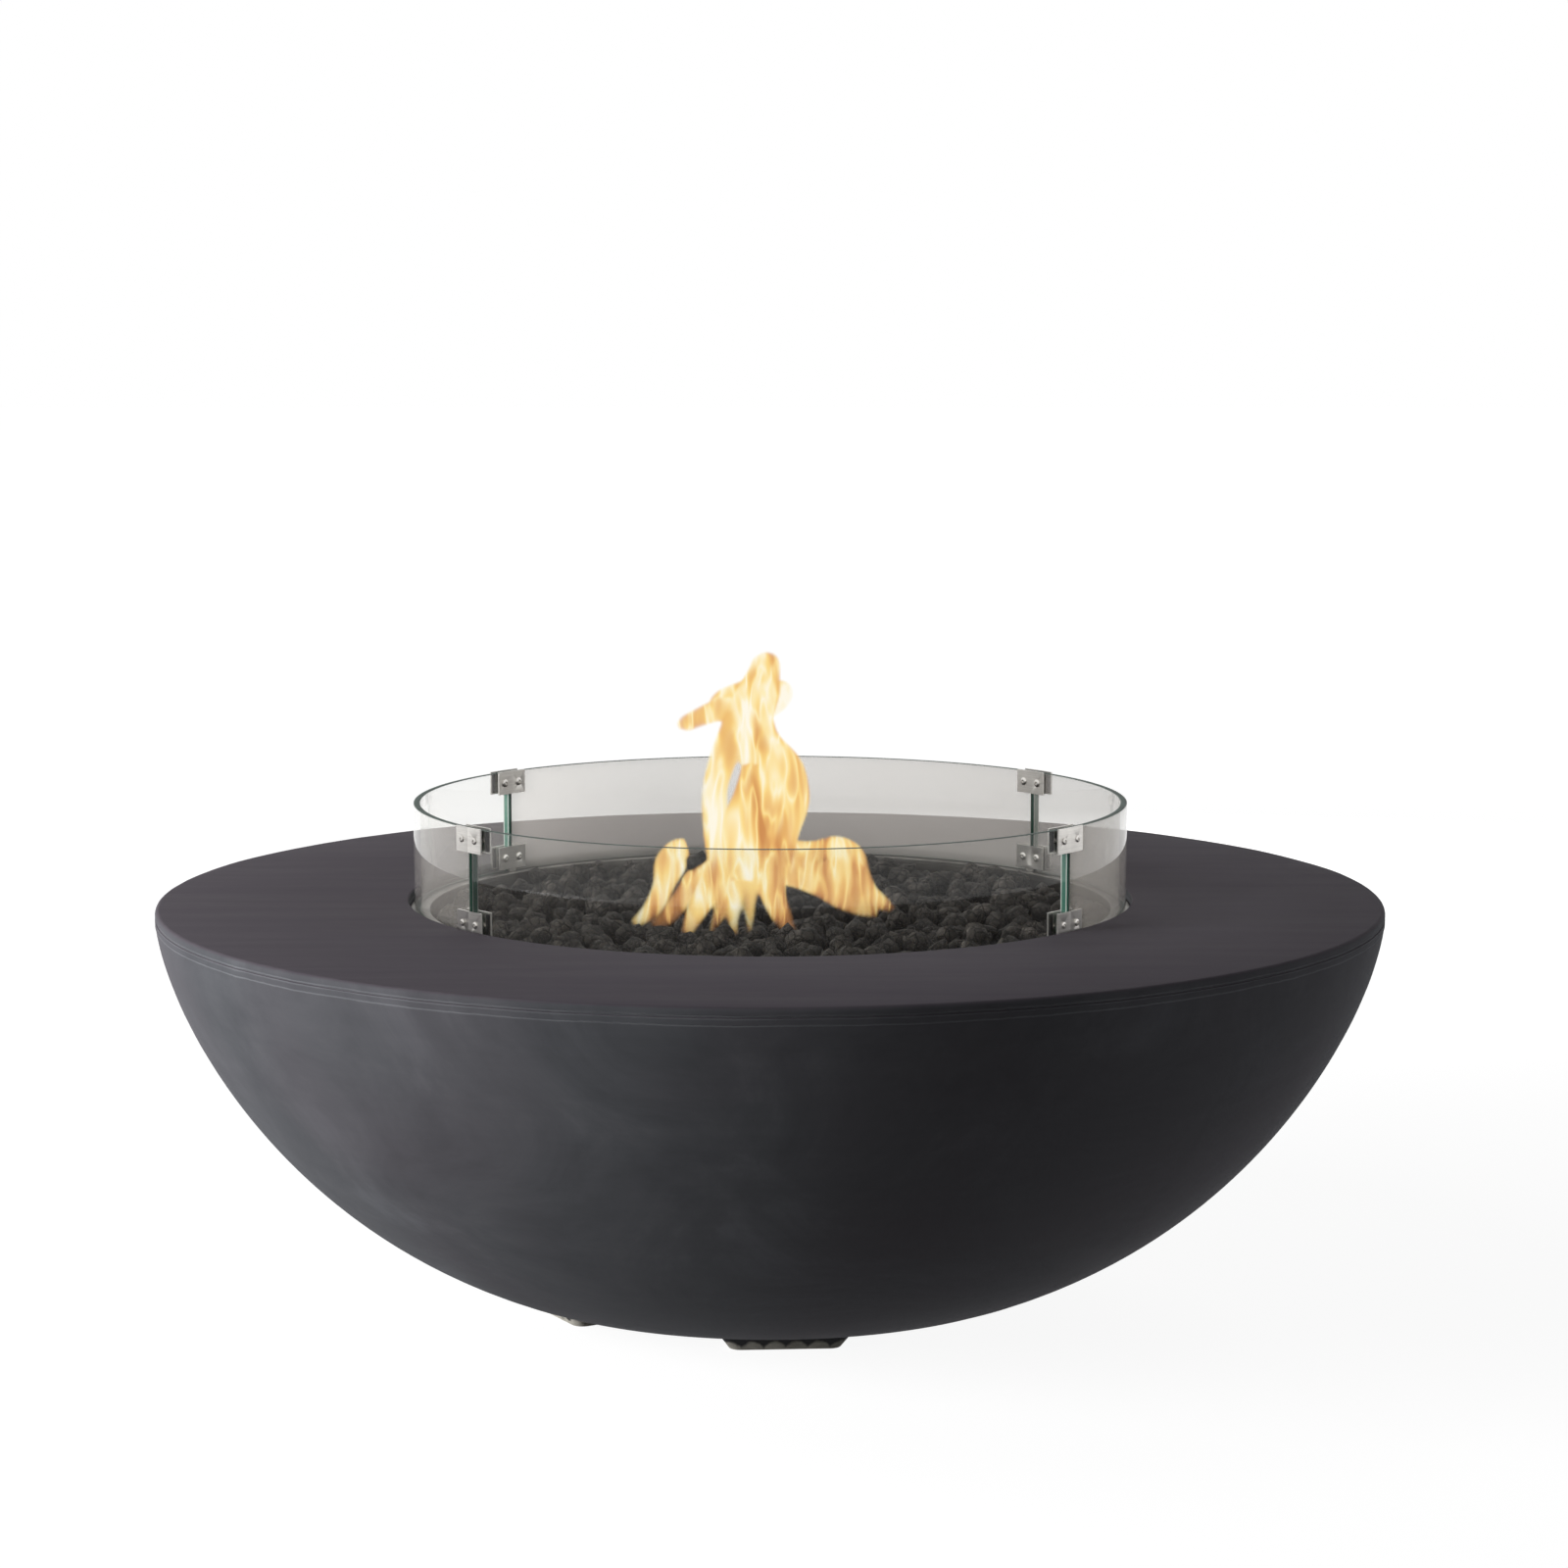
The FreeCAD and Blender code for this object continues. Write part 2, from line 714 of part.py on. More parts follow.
def pipe_nuts():
    seats = [
        (Vector(-feed_start, 0, elbow_z), -X),
        (Vector(valve_x - valve_boss_reach, boss_y, panel_z), -X),
        (Vector(valve_x, boss_y, panel_z - valve_boss_reach), -Z),
        (Vector(0, inlet_y, union_top), Z),
    ]
    nuts = []
    for seat, direction in seats:
        nut = hexagon(seat, direction, pipe_nut_flats, pipe_nut_length)
        nuts.append(nut.cut(rod(seat, direction, pipe_radius + joint_fit, pipe_nut_length)))
    return Part.makeCompound(nuts)


def inlet_union():
    """Bulkhead union: the supply screws on the lower thread, the inlet pipe sits in the top."""
    centre = Vector(0, inlet_y, 0)
    body = rod(centre + Z * union_bottom, Z, inlet_thread_radius, inlet_thread_length)
    body = body.fuse(rod(centre + Z * union_bottom, Z, union_shank_radius, bracket_top - union_bottom))
    body = body.fuse(hexagon(centre + Z * bracket_top, Z, union_flats, union_hex_height))
    body = body.fuse(rod(centre + Z * (bracket_top + union_hex_height), Z, union_top_radius, union_top_length))
    body = body.cut(rod(centre + Z * (union_bottom - 1.0), Z, inlet_bore, union_top - union_bottom + 2.0))
    return body.cut(rod(centre + Z * (union_top - pipe_socket), Z, pipe_radius + joint_fit, pipe_socket + 1.0))


def union_lock_nut():
    seat = Vector(0, inlet_y, base_floor - union_nut_height)
    nut = hexagon(seat, Z, union_flats, union_nut_height)
    return nut.cut(rod(seat, Z, union_shank_radius + joint_fit, union_nut_height))


def bracket_screw_places():
    edge = service_hole_radius + (bracket_end - service_hole_radius) / 2.0
    return [Vector(side * bracket_width / 4.0, edge, bracket_top) for side in (-1, 1)]


def inlet_bracket():
    """Flat bar over the edge of the service hole that carries the gas inlet."""
    half = bracket_width / 2.0
    bar = box(Vector(-half, inlet_y - half, base_floor), Vector(half, bracket_end, bracket_top))
    through = bracket_gauge + 2.0
    bar = bar.cut(rod(Vector(0, inlet_y, base_floor - 1.0), Z, union_shank_radius + joint_fit, through))
    for place in bracket_screw_places():
        bar = bar.cut(rod(place - Z * (bracket_gauge + 1.0), Z, bracket_screw_radius + joint_fit, through))
    return bar


def bracket_screws():
    """Screw heads on the bar; their short shanks end at the floor of the bowl."""
    screws = []
    for place in bracket_screw_places():
        head = hexagon(place, Z, bracket_screw_flats, bracket_screw_head)
        screws.append(head.fuse(rod(place - Z * bracket_gauge, Z, bracket_screw_radius, bracket_gauge)))
    return Part.makeCompound(screws)


# Pilot, spark and leads


def pilot_places():
    return [Vector(-pilot_pitch, pilot_y, 0), Vector(0, pilot_y, 0), Vector(pilot_pitch, pilot_y, 0)]


def pilot_bracket():
    """Shelf on two legs with feet, welded to the pan beside the hole for the leads."""
    half = pilot_shelf_length / 2.0
    half_width = pilot_shelf_width / 2.0
    front = pilot_y - half_width
    back = pilot_y + half_width
    shelf = box(Vector(-half, front, pilot_shelf_z), Vector(half, back, pilot_shelf_z + pilot_gauge))
    for side in (-1, 1):
        outer = side * half
        inner = side * (half - pilot_gauge)
        toe = side * (half + pilot_foot_length)
        leg = box(Vector(min(outer, inner), front, pan_floor),
                  Vector(max(outer, inner), back, pilot_shelf_z + pilot_gauge))
        pad = box(Vector(min(inner, toe), front, pan_floor),
                  Vector(max(inner, toe), back, pan_floor + pilot_gauge))
        shelf = shelf.fuse(leg).fuse(pad)
    radii = (pilot_tube_radius, thermocouple_radius, electrode_radius)
    for place, radius in zip(pilot_places(), radii):
        shelf = shelf.cut(rod(place + Z * (pilot_shelf_z - 1.0), Z, radius + joint_fit, pilot_gauge + 2.0))
    return shelf.removeSplitter()


def pilot_burner():
    """Brass pilot tube with a hood that is open towards the spark rod."""
    place = pilot_places()[0]
    hood_low = pilot_top - pilot_hood_height
    body = rod(place + Z * pilot_bottom, Z, pilot_tube_radius, hood_low - pilot_bottom)
    hood = rod(place + Z * hood_low, Z, pilot_hood_radius, pilot_hood_height)
    half = pilot_mouth_width / 2.0
    mouth = box(place + Vector(0, -half, hood_low + pilot_mouth_margin),
                place + Vector(pilot_hood_radius + 1.0, half, pilot_top - pilot_mouth_margin))
    body = body.fuse(hood.cut(mouth))
    return body.cut(rod(place + Z * (pilot_bottom - 1.0), Z, lead_radius + joint_fit,
                        lead_socket + seat_gap + 1.0))


def thermocouple():
    place = pilot_places()[1]
    return rod(place + Z * pilot_bottom, Z, thermocouple_radius, pilot_top - thermocouple_drop - pilot_bottom)


def spark_electrode():
    """Ceramic sleeve round the spark rod."""
    place = pilot_places()[2]
    top = pilot_top - spark_rod_bare
    sleeve = rod(place + Z * pilot_bottom, Z, electrode_radius, top - pilot_bottom)
    return sleeve.cut(rod(place + Z * pilot_bottom, Z, electrode_rod_radius + joint_fit, top - pilot_bottom))


def electrode_rod():
    place = pilot_places()[2]
    return rod(place + Z * pilot_bottom, Z, electrode_rod_radius, pilot_top - pilot_bottom)


def lead_route(start, end):
    """Down from the pilot, back under the pan and into the controls."""
    return [start, Vector(start.x, start.y, lead_z), Vector(end.x, end.y - lead_run_in, end.z), end]


def valve_end():
    return panel_back - valve_length


def pilot_tube():
    start = pilot_places()[0] + Z * (pilot_bottom + lead_socket)
    end = Vector(valve_x - port_spread, valve_end() + valve_port_depth, panel_z + port_spread)
    return bent_rod(lead_route(start, end), lead_bend, lead_radius)


def thermocouple_lead():
    start = pilot_places()[1] + Z * pilot_bottom
    end = Vector(valve_x + port_spread, valve_end() + valve_port_depth, panel_z - port_spread)
    return bent_rod(lead_route(start, end), lead_bend, lead_radius)


def ignition_lead():
    start = pilot_places()[2] + Z * pilot_bottom
    end = Vector(igniter_x, igniter_end() - terminal_length, panel_z)
    return bent_rod(lead_route(start, end), lead_bend, lead_radius)


# Lava rock


def lava_rock_bed():
    """Loose rock that fills the pan round and over the burner."""
    edge = pan_inner - bed_gap
    return turned_polygon([
        (0, recess_top), (bed_recess_radius, recess_top), (bed_recess_radius, pan_floor),
        (edge, pan_floor), (edge, bed_top), (0, bed_top),
    ])


def wave(number, step):
    """Repeatable value between 0 and 1 that looks irregular."""
    return math.modf(abs(math.sin(number * 12.9898 + step * 78.233) * 43758.5453))[0]


def stone(number, place):
    """Faceted lump: a small flat base, a wide irregular girdle and a blunt top."""
    sides = 5
    turn = 360.0 * wave(number, 1)
    base = []
    girdle = []
    for k in range(sides):
        angle = turn + 360.0 / sides * k
        size = stone_radius * (0.80 + 0.20 * wave(number, k + 2))
        girdle.append(place + polar(size, angle + 30.0, stone_height * (0.34 + 0.24 * wave(number, k + 8))))
        base.append(place + polar(size * 0.62, angle))
    lean = polar(stone_radius * 0.22, 360.0 * wave(number, 14))
    top = place + lean + Z * stone_height * (0.86 + 0.28 * wave(number, 15))
    triangles = []
    for k in range(sides):
        after = (k + 1) % sides
        triangles.append((base[k], base[after], girdle[k]))
        triangles.append((girdle[k], base[after], girdle[after]))
        triangles.append((girdle[k], girdle[after], top))
    faces = [Part.Face(Part.makePolygon(list(corners) + [corners[0]])) for corners in triangles]
    faces.append(Part.Face(Part.makePolygon(base + base[:1])))
    return Part.Solid(Part.Shell(faces))


def lava_rocks():
    """Stones of the top layer, set out on a sunflower spiral so that none touch."""
    golden = 137.508
    stones = []
    for k in range(stone_count):
        radius = stone_field * math.sqrt((k + 0.5) / stone_count)
        stones.append(stone(k, polar(radius, golden * k, bed_top)))
    return Part.makeCompound(stones)


# Control panel, valve and igniter


def control_panel():
    plate = rounded_plate(panel_width, panel_height, panel_corner, panel_back, panel_gauge)
    holes = [(place.x, place.z, panel_screw_radius + joint_fit) for place in panel_screw_places()]
    holes += [(place.x, place.z, valve_screw_radius + joint_fit) for place in valve_screw_places()]
    holes.append((valve_x, panel_z, stem_radius + stem_hole_gap))
    holes.append((igniter_x, panel_z, barrel_radius + joint_fit))
    for x, z, radius in holes:
        plate = plate.cut(rod(Vector(x, panel_back - 1.0, z), Y, radius, panel_gauge + 2.0))
    return plate


def screw(seat, inward, radius, length, head_radius, head_height):
    """Pan-head screw: the head sits on the seat and the shank runs inward."""
    head = rod(seat, -inward, head_radius, head_height)
    return head.fuse(rod(seat, inward, radius, length))


def panel_screws():
    screws = [screw(place + Y * panel_face, -Y, panel_screw_radius, panel_screw_length,
                    panel_screw_head, panel_screw_head_height)
              for place in panel_screw_places()]
    return Part.makeCompound(screws)


def valve_screw_places():
    return [Vector(valve_x + side * valve_screw_pitch, panel_face, panel_z) for side in (-1, 1)]


def valve_body():
    """Brass valve: flange against the panel, inlet boss below and outlet boss at the side."""
    back = valve_end()
    flange_low = Vector(valve_x - valve_flange_width / 2.0, panel_back - valve_flange_thickness,
                        panel_z - valve_flange_height / 2.0)
    flange_size = Vector(valve_flange_width, valve_flange_thickness, valve_flange_height)
    body = box(flange_low, flange_low + flange_size)
    barrel = valve_length - valve_flange_thickness
    body = body.fuse(rod(Vector(valve_x, back, panel_z), Y, valve_radius, barrel))
    port = Vector(valve_x, boss_y, panel_z)
    for direction in (-X, -Z):
        body = body.fuse(rod(port, direction, valve_boss_radius, valve_boss_reach))
        socket_start = port + direction * (valve_boss_reach - pipe_socket)
        body = body.cut(rod(socket_start, direction, pipe_radius + joint_fit, pipe_socket + 1.0))
    stem_hole = stem_depth + knob_travel + 2.0
    body = body.cut(rod(Vector(valve_x, panel_back + 1.0, panel_z), -Y, stem_radius + running_fit, stem_hole))
    for side in (-1, 1):
        place = Vector(valve_x + side * port_spread, back - 1.0, panel_z - side * port_spread)
        body = body.cut(rod(place, Y, lead_radius + joint_fit, valve_port_depth + 1.0))
    for place in valve_screw_places():
        hole = valve_flange_thickness + panel_gauge + 1.0
        body = body.cut(rod(place, -Y, valve_screw_radius + joint_fit, hole))
    return body


def valve_screws():
    screws = [screw(place, -Y, valve_screw_radius, valve_flange_thickness + panel_gauge,
                    valve_screw_head, valve_screw_head_height)
              for place in valve_screw_places()]
    return Part.makeCompound(screws)


def valve_stem():
    start = panel_back - stem_depth
    return rod(Vector(valve_x, start, panel_z), Y, stem_radius, knob_end - knob_face - start)


def push_collar():
    """Washer under the knob: it slides in with the knob but doesn't turn."""
    start = Vector(valve_x, collar_end, panel_z)
    return tube(start, Y, collar_radius, stem_radius + running_fit, collar_thickness)


def valve_spring():
    start = Vector(valve_x, panel_face, panel_z)
    inner = stem_radius + valve_spring_gap
    return tube(start, Y, inner + spring_wall, inner, collar_end - panel_face - seat_gap)


def on_knob(shape):
    """Sets something modelled face up onto the valve, facing out of the panel."""
    return moved(shape, Vector(valve_x, knob_start, panel_z), Rotation(X, -90))


def pointer_block(low, high):
    """Strip near the upper end of the grip, between two depths from the slot's floor."""
    floor = knob_depth + grip_height - pointer_depth
    half = pointer_width / 2.0
    top = pointer_margin - grip_length / 2.0
    return box(Vector(-half, top, floor + low), Vector(half, top + pointer_length, floor + high))


def gas_knob():
    """Round knob with a grip bar: hollow under the skirt, with a hub that holds the stem."""
    body = Part.makeCylinder(knob_radius, knob_depth)
    face_edge = [edge for edge in body.Edges if edge.CenterOfMass.z > knob_depth - 0.1]
    body = body.makeFillet(knob_round, face_edge)
    grip_low = Vector(-grip_width / 2.0, -grip_length / 2.0, knob_depth - 0.5)
    grip = box(grip_low, grip_low + Vector(grip_width, grip_length, grip_height + 0.5))
    upper = [edge for edge in grip.Edges if edge.CenterOfMass.z > knob_depth + grip_height - 0.1]
    body = body.fuse(grip.makeFillet(grip_round, upper)).removeSplitter()
    cavity = tube(Vector(0, 0, -1), Z, knob_radius - knob_skirt, knob_hub_radius, knob_cavity + 1.0)
    clear_collar = knob_skirt + collar_thickness + joint_fit
    body = body.cut(cavity).cut(rod(Vector(0, 0, -1), Z, knob_hub_radius + 0.1, clear_collar + 1.0))
    body = body.cut(rod(Vector(0, 0, -1), Z, stem_radius + joint_fit, knob_depth - knob_face + 1.0))
    return on_knob(body.cut(pointer_block(0.0, pointer_depth + 1.0)))


def knob_pointer():
    """White strip let into the grip; it points up when the gas is off."""
    return on_knob(pointer_block(0.0, pointer_depth))


def dial_ring():
    return tube(Vector(valve_x, panel_face, panel_z), Y, dial_outer, dial_inner, dial_thickness)


def igniter_end():
    """Inner end of the igniter's barrel."""
    return panel_face - barrel_length


def igniter_body():
    start = Vector(igniter_x, igniter_end(), panel_z)
    body = rod(start, Y, barrel_radius, barrel_length + igniter_flange_thickness)
    flange = rod(Vector(igniter_x, panel_face, panel_z), Y, igniter_flange_radius, igniter_flange_thickness)
    body = body.fuse(flange)
    terminal = rod(start - Y * terminal_length, Y, terminal_radius, terminal_length)
    cup = rod(start + Y * barrel_wall, Y, barrel_radius - barrel_wall, barrel_length + 5.0)
    return body.fuse(terminal).cut(cup)


def igniter_nut():
    seat = Vector(igniter_x, panel_back - igniter_nut_height, panel_z)
    nut = hexagon(seat, Y, igniter_nut_flats, igniter_nut_height)
    return nut.cut(rod(seat, Y, barrel_radius + joint_fit, igniter_nut_height))


def igniter_battery():
    """AA cell with its raised contact."""
    start = Vector(igniter_x, igniter_end() + barrel_wall, panel_z)
    cell = rod(start, Y, battery_radius, battery_length - battery_contact_height)
    return cell.fuse(rod(start, Y, battery_contact_radius, battery_length))


def igniter_button():
    start = Vector(igniter_x, panel_face - button_inside, panel_z)
    radius = barrel_radius - barrel_wall - running_fit
    body = rod(start, Y, radius, button_length)
    outer = [edge for edge in body.Edges if edge.CenterOfMass.y > start.y + button_length - 0.1]
    return body.makeFillet(button_round, outer)


def igniter_spring():
    start = Vector(igniter_x, igniter_end() + barrel_wall + battery_length + seat_gap, panel_z)
    length = panel_face - button_inside - seat_gap - start.y
    return tube(start, Y, igniter_spring_radius, igniter_spring_radius - spring_wall, length)


# Wind guard


def joint_angles():
    return [joint_angle, 180.0 - joint_angle, 180.0 + joint_angle, 360.0 - joint_angle]


def half_gap():
    """Half the gap between two panels, as an angle."""
    return math.degrees(glass_gap / 2.0 / (glass_radius - glass_thickness / 2.0))


def at_joint(angle, side, offset=0.0):
    """Turns something on the X axis to one wing of a joint, offset along the glass."""
    along = math.degrees(offset / (glass_radius - glass_thickness / 2.0))
    return Rotation(Z, angle + side * along)


def clip_levels():
    upper = guard_top + clip_rise - clip_height
    lower = guard_bottom + lower_clip_lift
    return {"upper": upper, "lower": lower}


def glass_panel(start, end):
    """Curved panel between two joints, with a hole for each clip screw."""
    panel = ring_sector(glass_inner, glass_radius, guard_bottom, guard_top,
                        start + half_gap(), end - half_gap())
    for level in clip_levels().values():
        z = level + clip_height / 2.0
        hole = rod(Vector(glass_inner - 2.0, 0, z), X, glass_hole_radius, glass_thickness + 4.0)
        for angle, side in ((start, 1), (end, -1)):
            panel = panel.cut(moved(hole, Vector(), at_joint(angle, side, clip_screw_offset)))
    return panel


def clip_plate(angle, level, outside):
    """Bent plate with one wing on each panel; the lower ones have a tab that stands on the pan."""
    bend_angle = math.degrees(clip_wing / 2.0 / glass_radius)
    if outside:
        near = glass_radius + pad_thickness
    else:
        near = (glass_inner - pad_thickness) * math.cos(math.radians(bend_angle)) - clip_gauge - joint_fit
    z = clip_levels()[level]
    wings = []
    for side in (-1, 1):
        reach = clip_wing / 2.0
        overlap = reach + 0.3
        low = Vector(near, -overlap if side > 0 else -reach, z)
        high = Vector(near + clip_gauge, reach if side > 0 else overlap, z + clip_height)
        wing = box(low, high)
        hole_y = side * (clip_screw_offset - clip_wing / 2.0)
        hole = rod(Vector(near - 1.0, hole_y, z + clip_height / 2.0), X, clip_screw_radius + joint_fit, 5.0)
        wings.append(moved(wing.cut(hole), Vector(), at_joint(angle, side, clip_wing / 2.0)))
    plate = wings[0].fuse(wings[1])
    if level == "lower":
        tab = box(Vector(near, -tab_width / 2.0, guard_bottom),
                  Vector(near + clip_gauge, tab_width / 2.0, z + tab_root))
        plate = plate.fuse(moved(tab, Vector(), Rotation(Z, angle)))
    return plate.removeSplitter()


def clip_plates(level, outside):
    return Part.makeCompound([clip_plate(angle, level, outside) for angle in joint_angles()])


def clip_gaskets():
    """Rubber pads between plates and glass, and a web that keeps two panels apart."""
    pads = []
    web_angle = half_gap() * web_share
    middle_angle = math.degrees((glass_gap / 2.0 + web_foot) / glass_radius)
    for level in clip_levels().values():
        low = level + pad_margin
        high = level + clip_height - pad_margin
        for angle in joint_angles():
            web = ring_sector(glass_inner - web_proud, glass_radius + web_proud, low, high,
                              angle - web_angle, angle + web_angle)
            for inner in (glass_inner - pad_thickness, glass_radius):
                web = web.fuse(ring_sector(inner, inner + pad_thickness, low, high,
                                           angle - middle_angle, angle + middle_angle))
                for side in (-1, 1):
                    far = side * math.degrees((clip_wing - pad_inset) / glass_radius)
                    near = side * math.degrees((clip_wing - pad_inset - pad_length) / glass_radius)
                    pads.append(ring_sector(inner, inner + pad_thickness, low, high,
                                            angle + min(near, far), angle + max(near, far)))
            pads.append(web.removeSplitter())
    return Part.makeCompound(pads)


def clip_places():
    """Rotation and height of every clip screw."""
    places = []
    for level in clip_levels().values():
        for angle in joint_angles():
            for side in (-1, 1):
                places.append((at_joint(angle, side, clip_screw_offset), level + clip_height / 2.0))
    return places


def clip_faces():
    """How far out the outer and inner clip plates are faced by screw head and nut."""
    outer = glass_radius + pad_thickness + clip_gauge + clip_seat
    inner = glass_inner - pad_thickness - clip_gauge - 2.0 * clip_seat
    return outer, inner


def clip_screws():
    outer_face, inner_face = clip_faces()
    screws = []
    for rotation, z in clip_places():
        length = outer_face - inner_face + clip_screw_tail
        shape = screw(Vector(outer_face, 0, z), -X, clip_screw_radius, length,
                      clip_screw_head, clip_screw_head_height)
        screws.append(moved(shape, Vector(), rotation))
    return Part.makeCompound(screws)


def clip_nuts():
    inner_face = clip_faces()[1]
    nuts = []
    for rotation, z in clip_places():
        seat = Vector(inner_face, 0, z)
        nut = rod(seat, -X, clip_nut_radius, clip_nut_height)
        nut = nut.cut(rod(seat, -X, clip_screw_radius + joint_fit, clip_screw_tail + joint_fit))
        nuts.append(moved(nut, Vector(), rotation))
    return Part.makeCompound(nuts)


def all_parts():
    """Every piece under its own name."""
    feet = dict(zip(("foot_left", "foot_front", "foot_right", "foot_back"), foot_angles()))
    joints = joint_angles()
    panels = {
        "glass_back": (joints[0], joints[1]),
        "glass_left": (joints[1], joints[2]),
        "glass_front": (joints[2], joints[3]),
        "glass_right": (joints[3], joints[0] + 360.0),
    }
    parts = {name: foot(angle) for name, angle in feet.items()}
    parts.update({name: glass_panel(*span) for name, span in panels.items()})
    for level in ("upper", "lower"):
        parts[level + "_clips_outer"] = clip_plates(level, True)
        parts[level + "_clips_inner"] = clip_plates(level, False)
    parts["feed_pipe"] = gas_pipe(feed_points())
    parts["inlet_pipe"] = gas_pipe(inlet_points())
    single = (
        bowl_shell, foot_glides, foot_bolts, foot_inserts, burner_pan, burner_frame, burner_spokes,
        burner_hub, hub_lock_nut, gas_elbow, air_mixer, orifice_spud, pipe_nuts, inlet_union,
        union_lock_nut, inlet_bracket, bracket_screws, pilot_bracket, pilot_burner, thermocouple,
        spark_electrode, electrode_rod, pilot_tube, thermocouple_lead, ignition_lead, lava_rock_bed,
        lava_rocks, control_panel, panel_screws, valve_body, valve_screws, valve_stem, push_collar,
        valve_spring, gas_knob, knob_pointer, dial_ring, igniter_body, igniter_nut, igniter_battery,
        igniter_button, igniter_spring, clip_gaskets, clip_screws, clip_nuts,
    )
    parts.update({make.__name__: make() for make in single})
    return parts


os.makedirs("parts", exist_ok=True)
for name, shape in all_parts().items():
    shape.exportStep("parts/" + name + ".step")
    print(name, len(shape.Solids), round(shape.Volume, 1), shape.isValid())
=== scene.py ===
import math

import bmesh
import bpy
from mathutils import Matrix, Vector, noise


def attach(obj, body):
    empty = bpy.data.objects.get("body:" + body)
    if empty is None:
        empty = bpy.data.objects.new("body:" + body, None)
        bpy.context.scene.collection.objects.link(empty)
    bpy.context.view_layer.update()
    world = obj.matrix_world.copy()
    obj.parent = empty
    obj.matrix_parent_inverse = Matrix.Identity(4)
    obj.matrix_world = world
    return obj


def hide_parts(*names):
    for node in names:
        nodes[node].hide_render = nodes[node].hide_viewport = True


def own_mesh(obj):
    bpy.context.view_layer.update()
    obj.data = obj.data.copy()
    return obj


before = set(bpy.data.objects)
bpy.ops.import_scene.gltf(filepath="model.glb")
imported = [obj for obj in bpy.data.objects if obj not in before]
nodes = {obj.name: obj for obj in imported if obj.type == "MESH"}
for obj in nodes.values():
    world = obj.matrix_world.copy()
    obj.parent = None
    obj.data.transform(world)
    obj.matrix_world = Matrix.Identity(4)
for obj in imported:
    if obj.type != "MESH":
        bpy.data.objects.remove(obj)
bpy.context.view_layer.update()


# Concrete bowl. One casting in charcoal glass-fibre concrete, with a trowelled deck, a scribed rim
# band, a stepped opening for the burner pan, a hollow inside, a hole in the base for the gas hose
# and a pocket in the back wall for the controls.

deck_z = 0.350
bowl_radius = 0.535
base_z = 0.017
base_floor_z = 0.043
opening_radius = 0.317
ledge_z = 0.340
bore_radius = 0.301
deck_underside_z = 0.318
hose_hole_radius = 0.130
wall = 0.020
lathe_steps = 288

curve_top_z = deck_z - 0.008
curve_depth = 0.362
depth_power = 1.479
radius_power = 2.531
band_z = 0.3362

# Height and depth of each corner of the line scribed into the rim band
scribed_line = ((0.3416, 0.0), (0.3420, 0.0008), (0.3436, 0.0008), (0.3440, 0.0))

# Height and strength of each pale line painted along an edge of the rim band, a painted highlight
edge_highlight_lines = ((0.3435, 0.55), (0.3413, 0.4), (0.336, 0.6))

# Waves in a metre and depth of the unevenness that hand work leaves
hand_waves = ((9.0, 0.0006), (45.0, 0.00025))

# Low corner, high corner and edge radius of each block round the controls, and finer arcs for one
control_boss = ((-0.106, 0.431, 0.173), (0.106, 0.520, 0.317), 0.004)
control_pocket = ((-0.086, 0.455, 0.193), (0.086, 0.560, 0.297), 0.012, 10)
panel_window = ((-0.052, 0.420, 0.214), (0.052, 0.470, 0.276), 0.012)


def curve_radius(z):
    """Radius of the bowl's side at a height, on a long curve that draws in towards the base."""
    depth = max(curve_top_z - z, 0.0)
    return bowl_radius * (1.0 - (depth / curve_depth) ** depth_power) ** (1.0 / radius_power)


def inner_radius(z):
    """Radius of the hollow at a height, a wall's thickness inside the curve."""
    slope = (curve_radius(z + 0.001) - curve_radius(z - 0.001)) / 0.002
    return curve_radius(z) - wall * math.sqrt(1.0 + slope * slope)


def rounded(profile, steps=5):
    """Profile corners given as (r, z) or (r, z, round) become points with small arcs at the rounds."""
    points = []
    count = len(profile)
    for k, corner in enumerate(profile):
        here = Vector(corner[:2])
        if len(corner) == 2:
            points.append(here)
            continue
        before = (Vector(profile[k - 1][:2]) - here).normalized()
        after = (Vector(profile[(k + 1) % count][:2]) - here).normalized()
        half = before.angle(after) / 2.0
        reach = corner[2] / math.tan(half)
        centre = here + (before + after).normalized() * (corner[2] / math.sin(half))
        start = here + before * reach - centre
        end = here + after * reach - centre
        sweep = math.atan2(start.x * end.y - start.y * end.x, start.dot(end))
        for n in range(steps + 1):
            turn = sweep * n / steps
            cosine, sine = math.cos(turn), math.sin(turn)
            points.append(centre + Vector((start.x * cosine - start.y * sine,
                                           start.x * sine + start.y * cosine)))
    return points


def heights(low, high, steps):
    return [low + (high - low) * k / steps for k in range(steps + 1)]


def new_object(name, mesh):
    made = bpy.data.objects.new(name, mesh)
    bpy.context.scene.collection.objects.link(made)
    return made


def from_bmesh(name, shape, recalculate=True):
    if recalculate:
        bmesh.ops.recalc_face_normals(shape, faces=shape.faces)
    mesh = bpy.data.meshes.new(name)
    shape.to_mesh(mesh)
    shape.free()
    return new_object(name, mesh)


